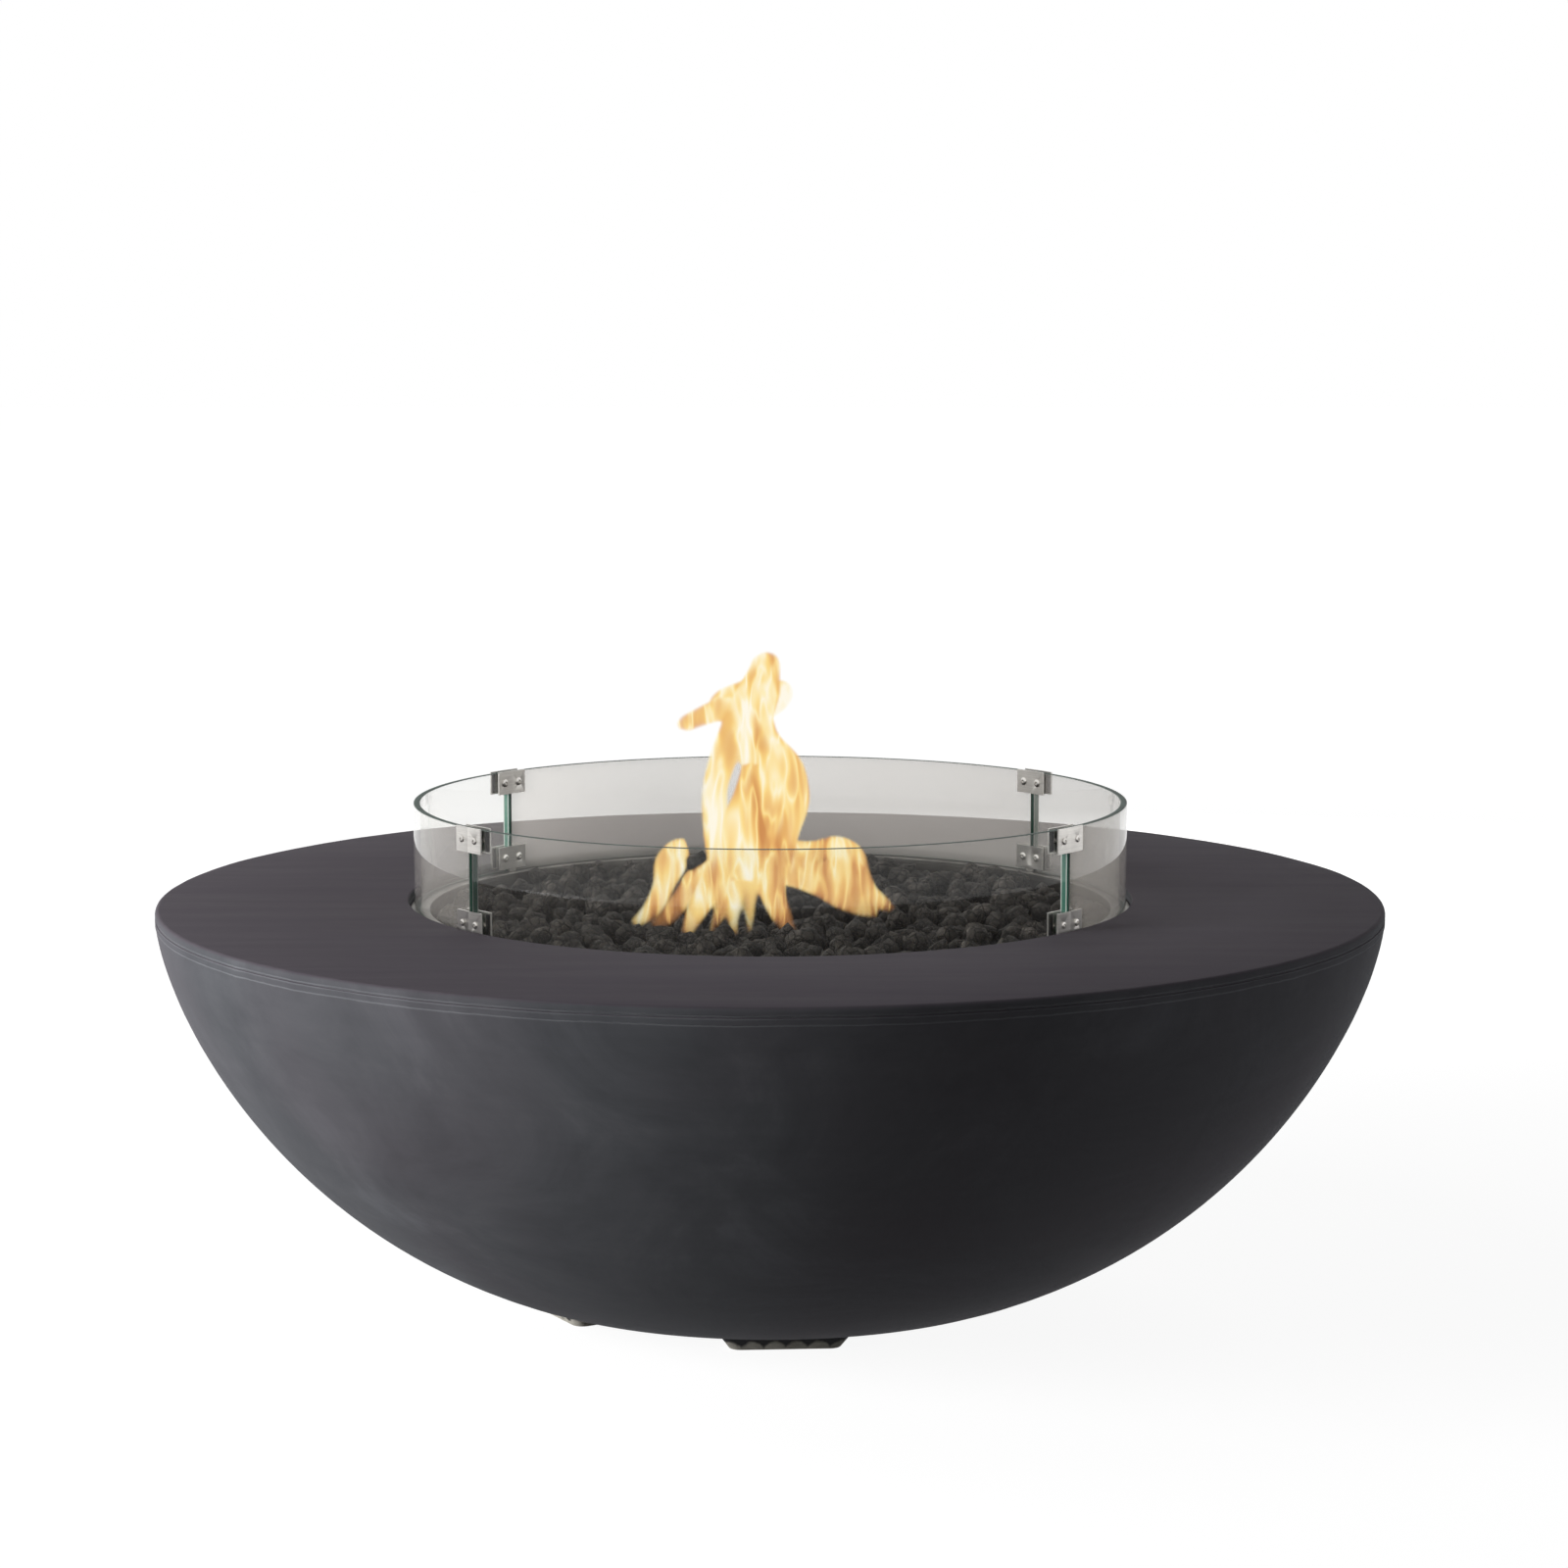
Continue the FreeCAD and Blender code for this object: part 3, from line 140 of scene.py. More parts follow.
def turned(name, profile, steps=lathe_steps, start=0.0, end=math.tau):
    """Closed section turned about Z. A part turn gets flat ends."""
    shape = bmesh.new()
    full = end - start > math.tau - 1e-6
    rings = []
    for k in range(steps if full else steps + 1):
        turn = start + (end - start) * k / steps
        rings.append([shape.verts.new((r * math.cos(turn), r * math.sin(turn), z)) for r, z in profile])
    pairs = list(zip(rings, rings[1:]))
    if full:
        pairs.append((rings[-1], rings[0]))
    size = len(profile)
    for ring, following in pairs:
        for k in range(size):
            after = (k + 1) % size
            shape.faces.new((ring[k], following[k], following[after], ring[after]))
    if not full:
        shape.faces.new(rings[0])
        shape.faces.new(rings[-1])
    bmesh.ops.remove_doubles(shape, verts=shape.verts, dist=1e-7)
    return from_bmesh(name, shape)


def rounded_block(name, low, high, corner, steps=6):
    """Block whose four edges along Y are rounded."""
    middle = (Vector(low) + Vector(high)) / 2.0
    across = (high[0] - low[0]) / 2.0 - corner
    up = (high[2] - low[2]) / 2.0 - corner
    outline = []
    for k, (sx, sz) in enumerate(((1, 1), (-1, 1), (-1, -1), (1, -1))):
        for n in range(steps + 1):
            turn = math.radians(90.0 * (k + n / steps))
            outline.append((middle.x + sx * across + corner * math.cos(turn),
                            middle.z + sz * up + corner * math.sin(turn)))
    shape = bmesh.new()
    ends = [[shape.verts.new((x, y, z)) for x, z in outline] for y in (low[1], high[1])]
    for end in ends:
        shape.faces.new(end)
    for k in range(len(outline)):
        after = (k + 1) % len(outline)
        shape.faces.new((ends[0][k], ends[0][after], ends[1][after], ends[1][k]))
    return from_bmesh(name, shape)


def finished_mesh(made):
    """Applies the object's modifiers into its own plain mesh."""
    bpy.context.view_layer.update()
    depsgraph = bpy.context.evaluated_depsgraph_get()
    mesh = bpy.data.meshes.new_from_object(made.evaluated_get(depsgraph))
    made.modifiers.clear()
    made.data = mesh
    return made


def combined(made, other, operation):
    """Solid combination of two objects; the second one is used up."""
    step = made.modifiers.new(operation.lower(), "BOOLEAN")
    step.operation = operation
    step.solver = "EXACT"
    step.object = other
    finished_mesh(made)
    bpy.data.objects.remove(other)
    return made


def smooth(made, angle=35.0):
    made.data.polygons.foreach_set("use_smooth", [True] * len(made.data.polygons))
    made.data.set_sharp_from_angle(angle=math.radians(angle))
    return made


def add(tree, kind, inputs=None, **settings):
    """One shader or geometry node; an input may be a value or another node's socket."""
    made = tree.nodes.new(kind)
    for key, value in settings.items():
        setattr(made, key, value)
    for key, value in (inputs or {}).items():
        if isinstance(value, bpy.types.NodeSocket):
            tree.links.new(value, made.inputs[key])
        else:
            made.inputs[key].default_value = value
    return made


def new_material(name, base_color, roughness, metallic=0.0, specular=0.5):
    """Material with one Principled shader; base_color is linear."""
    made = bpy.data.materials.new(name)
    made.use_nodes = True
    tree = made.node_tree
    shader = tree.nodes["Principled BSDF"]
    shader.inputs["Base Color"].default_value = (*base_color, 1.0)
    shader.inputs["Roughness"].default_value = roughness
    shader.inputs["Metallic"].default_value = metallic
    shader.inputs["Specular IOR Level"].default_value = specular
    return made, tree, shader


def display(red, green, blue):
    """Linear colour for a colour as it looks on the screen, given 0 to 255."""
    return tuple(c / 12.92 if c <= 0.04045 else ((c + 0.055) / 1.055) ** 2.4
                 for c in (red / 255.0, green / 255.0, blue / 255.0))


def object_place(tree, scale=(1.0, 1.0, 1.0)):
    coords = add(tree, "ShaderNodeTexCoord").outputs["Object"]
    return add(tree, "ShaderNodeMapping", {"Vector": coords, "Scale": scale}).outputs["Vector"]


def axes(tree, place):
    """The X, Y and Z sockets of a place."""
    return add(tree, "ShaderNodeSeparateXYZ", {0: place}).outputs


def noise_value(tree, place, scale, detail=3.0, rough=0.55, distortion=0.0):
    return add(tree, "ShaderNodeTexNoise", {
        "Vector": place, "Scale": scale, "Detail": detail, "Roughness": rough,
        "Distortion": distortion}).outputs["Fac"]


def ranged(tree, value, low, high, start=0.0, end=1.0):
    """Carries a value between low and high over to start and end, and holds it there outside them."""
    return add(tree, "ShaderNodeMapRange", {
        "Value": value, "From Min": low, "From Max": high, "To Min": start, "To Max": end}).outputs["Result"]


def ramp(tree, value, *stops):
    """Colour ramp from (position, linear colour) stops."""
    made = add(tree, "ShaderNodeValToRGB", {"Fac": value})
    band = made.color_ramp
    while len(band.elements) < len(stops):
        band.elements.new(0.5)
    for element, (position, colour) in zip(band.elements, stops):
        element.position = position
        element.color = (*colour, 1.0)
    return made.outputs["Color"]


def maths(tree, operation, first, second=0.5, third=0.5):
    return add(tree, "ShaderNodeMath", {0: first, 1: second, 2: third}, operation=operation).outputs[0]


def mixed(tree, factor, first, second):
    made = add(tree, "ShaderNodeMix", data_type="RGBA")
    for index, value in ((0, factor), (6, first), (7, second)):
        if isinstance(value, bpy.types.NodeSocket):
            tree.links.new(value, made.inputs[index])
        elif isinstance(value, tuple):
            made.inputs[index].default_value = (*value, 1.0)
        else:
            made.inputs[index].default_value = value
    return made.outputs[2]


def coloured(tree, shader, colour):
    tree.links.new(colour, shader.inputs["Base Color"])


def bumped(tree, shader, height, strength, distance):
    bump = add(tree, "ShaderNodeBump", {"Height": height, "Strength": strength, "Distance": distance})
    tree.links.new(bump.outputs["Normal"], shader.inputs["Normal"])


def concrete_material(name, deck_colours, side_colours):
    """Trowelled concrete: clouds and streaks of three tones, and painted highlights as pale lines along the
    edges of the rim band.
    """
    made, tree, shader = new_material(name, side_colours[1], 0.8, specular=0.09)
    place = object_place(tree)
    parts = axes(tree, place)
    turn = maths(tree, "ARCTAN2", parts["Y"], parts["X"])
    drawn_up = maths(tree, "MULTIPLY", parts["Z"], 18.0)
    round_place = add(tree, "ShaderNodeCombineXYZ", {"X": turn, "Z": drawn_up})
    across = object_place(tree, (1.3, 11.0, 5.0))
    normal = add(tree, "ShaderNodeNewGeometry").outputs["Normal"]
    deck = ranged(tree, axes(tree, normal)["Z"], 0.45, 0.8)
    clouds = noise_value(tree, place, 7.0, 6.0, 0.62, 0.8)
    side_streaks = noise_value(tree, round_place.outputs[0], 3.2, 5.0, 0.62)
    deck_streaks = noise_value(tree, across, 3.0, 5.0, 0.6)
    side_shade = maths(tree, "MULTIPLY_ADD", side_streaks, 0.16, maths(tree, "MULTIPLY", clouds, 0.84))
    deck_shade = maths(tree, "MULTIPLY_ADD", deck_streaks, 0.5, maths(tree, "MULTIPLY", clouds, 0.5))
    side = ramp(tree, side_shade, *zip((0.33, 0.52, 0.70), side_colours))
    top = ramp(tree, deck_shade, *zip((0.33, 0.52, 0.70), deck_colours))
    tint = ranged(tree, noise_value(tree, place, 3.1, 2.0), 0.45, 0.75, 0.0, 0.5)
    side = mixed(tree, tint, side, display(84, 77, 83))
    round_only = add(tree, "ShaderNodeCombineXYZ", {"X": turn}).outputs[0]
    wander = noise_value(tree, round_only, 7.0, 5.0, 0.7)
    level = maths(tree, "MULTIPLY_ADD", wander, 0.004, maths(tree, "SUBTRACT", parts["Z"], 0.002))
    # Painted highlights: pale lines along the corner of the rim band and the edges of its scribed line.
    for line_z, strength in edge_highlight_lines:
        gap = maths(tree, "ABSOLUTE", maths(tree, "SUBTRACT", level, line_z))
        line = ranged(tree, gap, 0.0, 0.0010, strength, 0.0)
        painted_line_highlight = maths(tree, "MULTIPLY", line, maths(tree, "MULTIPLY", clouds, 1.6))
        side = mixed(tree, painted_line_highlight, side, display(140, 142, 146))
    coloured(tree, shader, mixed(tree, deck, side, top))
    grain = noise_value(tree, place, 420.0, 3.0, 0.7)
    pits = add(tree, "ShaderNodeTexVoronoi", {"Vector": place, "Scale": 95.0}).outputs["Distance"]
    holes = ranged(tree, pits, 0.0, 0.09)
    height = maths(tree, "MULTIPLY_ADD", grain, 0.35, maths(tree, "MULTIPLY", holes, 0.5))
    height = maths(tree, "ADD", height, maths(tree, "MULTIPLY", side_streaks, 0.3))
    bumped(tree, shader, height, 0.35, 0.0006)
    tree.links.new(ranged(tree, clouds, 0.0, 1.0, 0.68, 0.88), shader.inputs["Roughness"])
    return made


charcoal_concrete = concrete_material(
    "charcoal_concrete",
    (display(80, 75, 82), display(88, 83, 89), display(97, 93, 98)),
    (display(76, 77, 81), display(88, 89, 93), display(104, 105, 110)),
)


def bowl_profile():
    curve = heights(base_z, band_z, 46)[1:-1]
    outside = [(hose_hole_radius, base_z, 0.003), (curve_radius(base_z) - 0.001, base_z, 0.003)]
    outside += [(curve_radius(z), z) for z in curve]
    outside += [(curve_radius(band_z), band_z), (bowl_radius - 0.0001, band_z + 0.0004, 0.0003)]
    outside += [(bowl_radius - depth, z) for z, depth in scribed_line]
    outside += [
        (bowl_radius, deck_z, 0.004),
        (opening_radius, deck_z, 0.0016), (opening_radius, ledge_z, 0.001),
        (bore_radius, ledge_z, 0.0015), (bore_radius, deck_underside_z, 0.001),
    ]
    inside = [(inner_radius(z), z) for z in heights(deck_underside_z, base_floor_z, 14)]
    return rounded(outside + inside + [(hose_hole_radius, base_floor_z, 0.003)])


def make_bowl():
    bowl = turned("concrete_bowl", bowl_profile())
    outer = [(0.001, base_z)] + [(curve_radius(z), z) for z in heights(base_z, deck_underside_z, 24)]
    outer.append((0.001, deck_underside_z))
    boss = rounded_block("boss", *control_boss)
    combined(boss, turned("outer", outer), "INTERSECT")
    combined(bowl, boss, "UNION")
    combined(bowl, rounded_block("pocket", *control_pocket), "DIFFERENCE")
    combined(bowl, rounded_block("window", *panel_window), "DIFFERENCE")
    for vertex in bowl.data.vertices:
        x, y, z = vertex.co
        reach = math.hypot(x, y)
        if z > 0.2 and reach > 0.5:
            wobble = sum(noise.noise(Vector((x, y, z)) * waves) * depth for waves, depth in hand_waves)
            spread = 1.0 + wobble / reach
            vertex.co = Vector((x * spread, y * spread, z + wobble * 0.4))
    return smooth(bowl, 30.0)


bowl = make_bowl()
bowl.data.materials.append(charcoal_concrete)
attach(bowl, "fire_bowl")
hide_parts("bowl_shell")


# Feet. Four low cast pads bolted under the base, each on a thin glide, with painted highlights in a row of
# pale scallops along the lower edge. The bolts thread into inserts cast into the bowl.

foot_directions = {"foot_left": -149.0, "foot_front": -86.5, "foot_right": 31.0, "foot_back": 93.5}
scallop_pitch = 0.0185
scallop_height = 0.0055


def foot_material(name, direction):
    """Dark concrete with painted highlights, pale along the lower edge in a row of scallops."""
    made, tree, shader = new_material(name, display(46, 46, 48), 0.85, specular=0.2)
    coords = add(tree, "ShaderNodeTexCoord").outputs["Object"]
    faced = add(tree, "ShaderNodeMapping", {"Vector": coords, "Rotation": (0, 0, -math.radians(direction))})
    parts = axes(tree, faced.outputs[0])
    wave = maths(tree, "SINE", maths(tree, "MULTIPLY", parts["Y"], math.pi / scallop_pitch))
    rough = noise_value(tree, coords, 160.0, 3.0)
    edge = maths(tree, "MULTIPLY_ADD", maths(tree, "ABSOLUTE", wave), scallop_height,
                 maths(tree, "MULTIPLY_ADD", rough, 0.004, 0.0005))
    # Painted highlights: pale scallops along the lower edge.
    pale = ranged(tree, maths(tree, "SUBTRACT", edge, parts["Z"]), -0.0015, 0.0015)
    cloud = noise_value(tree, coords, 90.0, 3.0)
    dark = ramp(tree, cloud, (0.3, display(34, 34, 36)), (0.7, display(54, 54, 56)))
    light = ramp(tree, cloud, (0.3, display(176, 172, 163)), (0.7, display(214, 210, 200)))
    coloured(tree, shader, mixed(tree, pale, dark, light))
    bumped(tree, shader, noise_value(tree, coords, 500.0, 3.0), 0.3, 0.0005)
    return made


def finish(names, material):
    """Gives the solids of these names their real finish."""
    for name in names:
        nodes[name].material_slots[0].material = material


for name, direction in foot_directions.items():
    finish([name], foot_material(name + "_concrete", direction))
finish(["foot_glides"], foot_material("glide_rubber", foot_directions["foot_front"]))


# Metal finishes of the fittings under the bowl: zinc plated bolts and brackets, cast and turned
# brass, drawn aluminium gas pipe. Each one is stained and scratched a little by handling.


def metal(name, colour, dark, roughness, stretch=(1.0, 1.0, 1.0), scale=120.0, metallic=1.0):
    made, tree, shader = new_material(name, colour, roughness, metallic)
    place = object_place(tree, stretch)
    lines = noise_value(tree, place, scale, 4.0, 0.65)
    stain = noise_value(tree, object_place(tree), 32.0, 3.0, 0.5)
    shade = maths(tree, "MULTIPLY_ADD", lines, 0.5, maths(tree, "MULTIPLY", stain, 0.5))
    coloured(tree, shader, ramp(tree, shade, (0.32, dark), (0.62, colour)))
    rough = ranged(tree, shade, 0.0, 1.0, roughness + 0.12, roughness - 0.1)
    tree.links.new(rough, shader.inputs["Roughness"])
    bumped(tree, shader, lines, 0.12, 0.0002)
    return made


zinc_steel = metal("zinc_steel", display(176, 176, 172), display(128, 128, 124), 0.42)
yellow_brass = metal("yellow_brass", display(205, 176, 112), display(150, 118, 66), 0.38)
drawn_aluminium = metal("drawn_aluminium", display(196, 197, 200), display(150, 151, 154), 0.35, (1, 1, 6))
heat_tinted_steel = metal("heat_tinted_steel", display(150, 144, 138), display(92, 80, 72), 0.45)
soft_copper = metal("soft_copper", display(188, 120, 84), display(128, 76, 52), 0.4)

finish(("foot_bolts", "foot_inserts", "hub_lock_nut", "inlet_bracket", "bracket_screws", "valve_screws",
        "push_collar"), zinc_steel)
finish(("gas_elbow", "air_mixer", "orifice_spud", "pipe_nuts", "inlet_union", "union_lock_nut",
        "pilot_burner", "valve_body", "valve_stem"), yellow_brass)
finish(("feed_pipe", "inlet_pipe", "pilot_tube"), drawn_aluminium)
finish(("burner_frame", "burner_spokes", "burner_hub", "pilot_bracket", "electrode_rod"), heat_tinted_steel)
finish(("thermocouple", "thermocouple_lead"), soft_copper)


# Pilot and leads. The spark rod stands in a glazed ceramic sleeve, and the spark lead is a silicone
# sleeved wire that runs back to the igniter.

glazed_sleeve, tree, shader = new_material("glazed_sleeve", display(228, 225, 216), 0.18)
tint = noise_value(tree, object_place(tree), 140.0, 2.0)
coloured(tree, shader, ramp(tree, tint, (0.3, display(214, 208, 194)), (0.7, display(234, 232, 224))))
finish(["spark_electrode"], glazed_sleeve)

silicone_sleeve, tree, shader = new_material("silicone_sleeve", display(150, 48, 40), 0.6, specular=0.3)
tint = noise_value(tree, object_place(tree), 90.0, 3.0)
coloured(tree, shader, ramp(tree, tint, (0.3, display(126, 36, 30)), (0.7, display(166, 58, 48))))
finish(["ignition_lead"], silicone_sleeve)


# Burner pan. A spun steel pan that hangs by its flange in the opening, in plain steel colour at the lip and
# darker on the walls below it, with drain holes, a hole for the burner's nipple and one for the pilot's
# leads.

pan_flange_radius = 0.3157
pan_outer_radius = 0.3000
pan_inner_radius = 0.2985
pan_top_z = 0.3415
pan_floor_z = 0.2665
pan_gauge = 0.0015
nipple_hole_radius = 0.012
lead_hole = (0.0, 0.092, 0.024)
drain_ring_radius = 0.225
drain_radius = 0.004

pan_steel, tree, shader = new_material("pan_steel", display(120, 117, 112), 0.38, 1.0)
coords = object_place(tree)
parts = axes(tree, coords)
turn = maths(tree, "ARCTAN2", parts["Y"], parts["X"])
drawn_up = maths(tree, "MULTIPLY", parts["Z"], 90.0)
round_place = add(tree, "ShaderNodeCombineXYZ", {"X": turn, "Z": drawn_up})
lines = noise_value(tree, round_place.outputs[0], 6.0, 4.0, 0.6)
soot = noise_value(tree, coords, 22.0, 4.0, 0.6)
shade = maths(tree, "MULTIPLY_ADD", lines, 0.4, maths(tree, "MULTIPLY", soot, 0.6))
steel = ramp(tree, shade, (0.32, display(78, 75, 71)), (0.66, display(136, 133, 128)))
# The walls are coloured darker below the lip, towards the bottom.
darker_below_lip = ranged(tree, parts["Z"], 0.326, 0.3395)
coloured(tree, shader, mixed(tree, darker_below_lip, display(84, 81, 77), steel))
tree.links.new(ranged(tree, shade, 0.0, 1.0, 0.5, 0.3), shader.inputs["Roughness"])
bumped(tree, shader, lines, 0.15, 0.0003)

pan = turned("burner_pan_spun", rounded([
    (nipple_hole_radius, pan_floor_z - pan_gauge), (pan_outer_radius, pan_floor_z - pan_gauge, 0.003),
    (pan_outer_radius, ledge_z), (pan_flange_radius, ledge_z, 0.0006),
    (pan_flange_radius, pan_top_z, 0.0006), (pan_inner_radius, pan_top_z, 0.0013),
    (pan_inner_radius, pan_floor_z, 0.0015), (nipple_hole_radius, pan_floor_z),
]), 192)
drain_turns = [math.radians(a) for a in (45, 135, 225, 315)]
drains = [(drain_ring_radius * math.cos(a), drain_ring_radius * math.sin(a), drain_radius)
          for a in drain_turns]
for x, y, radius in [lead_hole] + drains:
    low, high = pan_floor_z - 0.0115, pan_floor_z + 0.0085
    cutter = turned("cutter", [(1e-4, low), (radius, low), (radius, high), (1e-4, high)], 32)
    cutter.data.transform(Matrix.Translation((x, y, 0.0)))
    combined(pan, cutter, "DIFFERENCE")
smooth(pan)
pan.data.materials.append(pan_steel)
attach(pan, "fire_bowl")
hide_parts("burner_pan")


# Lava rock. Loose fill lies on the burner, and about four hundred rounded, cracked nuggets of
# 20 to 30 mm cover it, each one a lump of its own.

bed_top_z = 0.318
stone_field_radius = 0.286
stone_centre_lift = 0.0055

lava_rock, tree, shader = new_material("lava_rock", display(52, 50, 48), 0.82, specular=0.35)
place = object_place(tree)
cloud = noise_value(tree, place, 60.0, 4.0, 0.6)
cracks = add(tree, "ShaderNodeTexVoronoi", {"Vector": place, "Scale": 130.0}, feature="DISTANCE_TO_EDGE")
crack_depth = ranged(tree, cracks.outputs[0], 0.0, 0.12)
pores = add(tree, "ShaderNodeTexVoronoi", {"Vector": place, "Scale": 420.0}).outputs["Distance"]
pore_depth = ranged(tree, pores, 0.1, 0.4)
rock_tones = (display(42, 40, 37), display(70, 66, 62), display(116, 110, 104))
rock_colour = ramp(tree, cloud, *zip((0.3, 0.52, 0.74), rock_tones))
# Painted shade: the cracks are darkened towards near black.
rock_colour = mixed(tree, maths(tree, "SUBTRACT", 1.0, crack_depth), rock_colour, display(26, 25, 24))
# Painted shade: the stones turn near black towards their low parts, where shade falls between them.
painted_shade_between_stones = ranged(tree, axes(tree, place)["Z"], 0.328, 0.341, 0.85, 0.0)
coloured(tree, shader, mixed(tree, painted_shade_between_stones, rock_colour, display(12, 11, 11)))
relief = maths(tree, "MULTIPLY_ADD", crack_depth, 0.6, maths(tree, "MULTIPLY", pore_depth, 0.4))
bumped(tree, shader, relief, 0.75, 0.0016)
finish(["lava_rock_bed"], lava_rock)


def geometry_tree(name, sizes):
    """Empty tree with a Geometry input and output and one named input for each size."""
    tree = bpy.data.node_groups.new(name, "GeometryNodeTree")
    tree.interface.new_socket("Geometry", in_out="INPUT", socket_type="NodeSocketGeometry")
    tree.interface.new_socket("Geometry", in_out="OUTPUT", socket_type="NodeSocketGeometry")
    for size, kind in sizes.items():
        tree.interface.new_socket(size, in_out="INPUT", socket_type="NodeSocket" + kind)
    return tree, add(tree, "NodeGroupInput").outputs


def grown(made, tree, values):
    """Runs a tree on an object and leaves the plain mesh that it makes."""
    step = made.modifiers.new(tree.name, "NODES")
    step.node_group = tree
    for item in tree.interface.items_tree:
        if item.in_out == "INPUT" and item.name in values:
            step[item.identifier] = values[item.name]
    return finished_mesh(made)


def lava_tree():
    tree, given = geometry_tree("scattered lava stones", {
        "Stone Radius": "Float", "Spacing": "Float", "Heap": "Float", "Lump": "Float", "Seed": "Int",
        "Material": "Material"})
    points = add(tree, "GeometryNodeDistributePointsOnFaces", {
        "Mesh": given["Geometry"], "Distance Min": given["Spacing"], "Density Max": 9000.0,
        "Seed": given["Seed"]}, distribute_method="POISSON")
    index = add(tree, "GeometryNodeInputIndex").outputs[0]
    lift = add(tree, "FunctionNodeRandomValue", {"ID": index, "Seed": 3}, data_type="FLOAT")
    rise = maths(tree, "MULTIPLY", lift.outputs[1], given["Heap"])
    offset = add(tree, "ShaderNodeCombineXYZ", {"Z": rise})
    heaped = add(tree, "GeometryNodeSetPosition", {"Geometry": points.outputs["Points"],
                                                   "Offset": offset.outputs[0]})
    turn = add(tree, "FunctionNodeRandomValue", {0: (0, 0, 0), 1: (6.28, 6.28, 6.28), "Seed": 5},
               data_type="FLOAT_VECTOR")
    size = add(tree, "FunctionNodeRandomValue", {0: (0.75, 0.7, 0.6), 1: (1.42, 1.16, 0.98), "Seed": 7},
               data_type="FLOAT_VECTOR")
    scaled = add(tree, "ShaderNodeVectorMath", {0: size.outputs[0], "Scale": given["Stone Radius"]},
                 operation="SCALE")
    lump = add(tree, "GeometryNodeMeshUVSphere", {"Radius": 1.0, "Segments": 10, "Rings": 7})
    stones = add(tree, "GeometryNodeInstanceOnPoints", {
        "Points": heaped.outputs[0], "Instance": lump.outputs[0], "Rotation": turn.outputs[0],
        "Scale": scaled.outputs[0]})
    real = add(tree, "GeometryNodeRealizeInstances", {"Geometry": stones.outputs[0]})
    position = add(tree, "GeometryNodeInputPosition").outputs[0]
    normal = add(tree, "GeometryNodeInputNormal").outputs[0]
    coarse = noise_value(tree, position, 84.0, 1.0)
    fine = noise_value(tree, position, 190.0, 2.0)
    depth = maths(tree, "ADD", maths(tree, "MULTIPLY_ADD", coarse, 1.6, -0.8),
                  maths(tree, "MULTIPLY_ADD", fine, 1.0, -0.5))
    reach = maths(tree, "MULTIPLY", depth, given["Lump"])
    push = add(tree, "ShaderNodeVectorMath", {0: normal, "Scale": reach}, operation="SCALE")
    lumpy = add(tree, "GeometryNodeSetPosition", {"Geometry": real.outputs[0], "Offset": push.outputs[0]})
    soft = add(tree, "GeometryNodeSetShadeSmooth", {0: lumpy.outputs[0], "Shade Smooth": True})
    skin = add(tree, "GeometryNodeSetMaterial", {"Geometry": soft.outputs[0], "Material": given["Material"]})
    add(tree, "NodeGroupOutput", {"Geometry": skin.outputs[0]})
    return tree


field = bmesh.new()
bmesh.ops.create_circle(field, cap_ends=True, segments=64, radius=stone_field_radius,
                        matrix=Matrix.Translation((0.0, 0.0, bed_top_z + stone_centre_lift)))
stones = grown(from_bmesh("lava_stones", field, False), lava_tree(), {
    "Stone Radius": 0.0122, "Spacing": 0.0186, "Heap": 0.0110, "Lump": 0.0092, "Seed": 4,
    "Material": lava_rock})
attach(stones, "fire_bowl")
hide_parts("lava_rocks")


# Controls in the pocket at the back: a brushed steel panel with four pan-head screws, the valve's
# knob with its dial, and the igniter's chromed button in its black bezel.

knob_place = (-0.033, 0.245)
button_place = (0.033, 0.245)

panel_steel = metal("panel_steel", display(188, 187, 184), display(152, 151, 148), 0.34, (1.0, 1.0, 40.0),
                    12.0)
finish(("control_panel", "panel_screws"), panel_steel)


def plastic(name, colour, roughness, grain):
    """Moulded plastic or rubber with a fine grain."""
    made, tree, shader = new_material(name, colour, roughness)
    place = object_place(tree)
    cloud = noise_value(tree, place, 45.0, 3.0)
    dark = tuple(c * 0.75 for c in colour)
    coloured(tree, shader, ramp(tree, cloud, (0.3, dark), (0.65, colour)))
    bumped(tree, shader, noise_value(tree, place, grain, 2.0), 0.25, 0.0001)
    return made


finish(["gas_knob"], plastic("knob_plastic", display(32, 32, 33), 0.32, 900.0))
finish(["knob_pointer"], plastic("white_plastic", display(226, 226, 222), 0.45, 900.0))
finish(("igniter_body", "igniter_nut"), plastic("black_plastic", display(38, 38, 39), 0.5, 1400.0))
finish(["igniter_button"], metal("polished_button", display(215, 216, 218), display(190, 191, 194), 0.14))
finish(["igniter_battery"], metal("cell_wrap", display(86, 90, 96), display(64, 67, 72), 0.4, metallic=0.2))

dial_black = display(34, 34, 35)
dial_print, tree, shader = new_material("dial_print", dial_black, 0.5)
parts = axes(tree, object_place(tree))
across = maths(tree, "SUBTRACT", parts["X"], knob_place[0])
up = maths(tree, "SUBTRACT", parts["Z"], knob_place[1])
angle = maths(tree, "ARCTAN2", up, across)
radius = maths(tree, "SQRT", maths(tree, "ADD", maths(tree, "MULTIPLY", across, across),
                                   maths(tree, "MULTIPLY", up, up)))
tick = maths(tree, "ABSOLUTE", maths(tree, "SINE", maths(tree, "MULTIPLY", angle, 6.0)))
tick = maths(tree, "LESS_THAN", tick, 0.16)
tick = maths(tree, "MULTIPLY", tick, maths(tree, "GREATER_THAN", radius, 0.0235))
tick = maths(tree, "MULTIPLY", tick, maths(tree, "LESS_THAN", radius, 0.0270))
coloured(tree, shader, mixed(tree, tick, dial_black, display(214, 214, 210)))
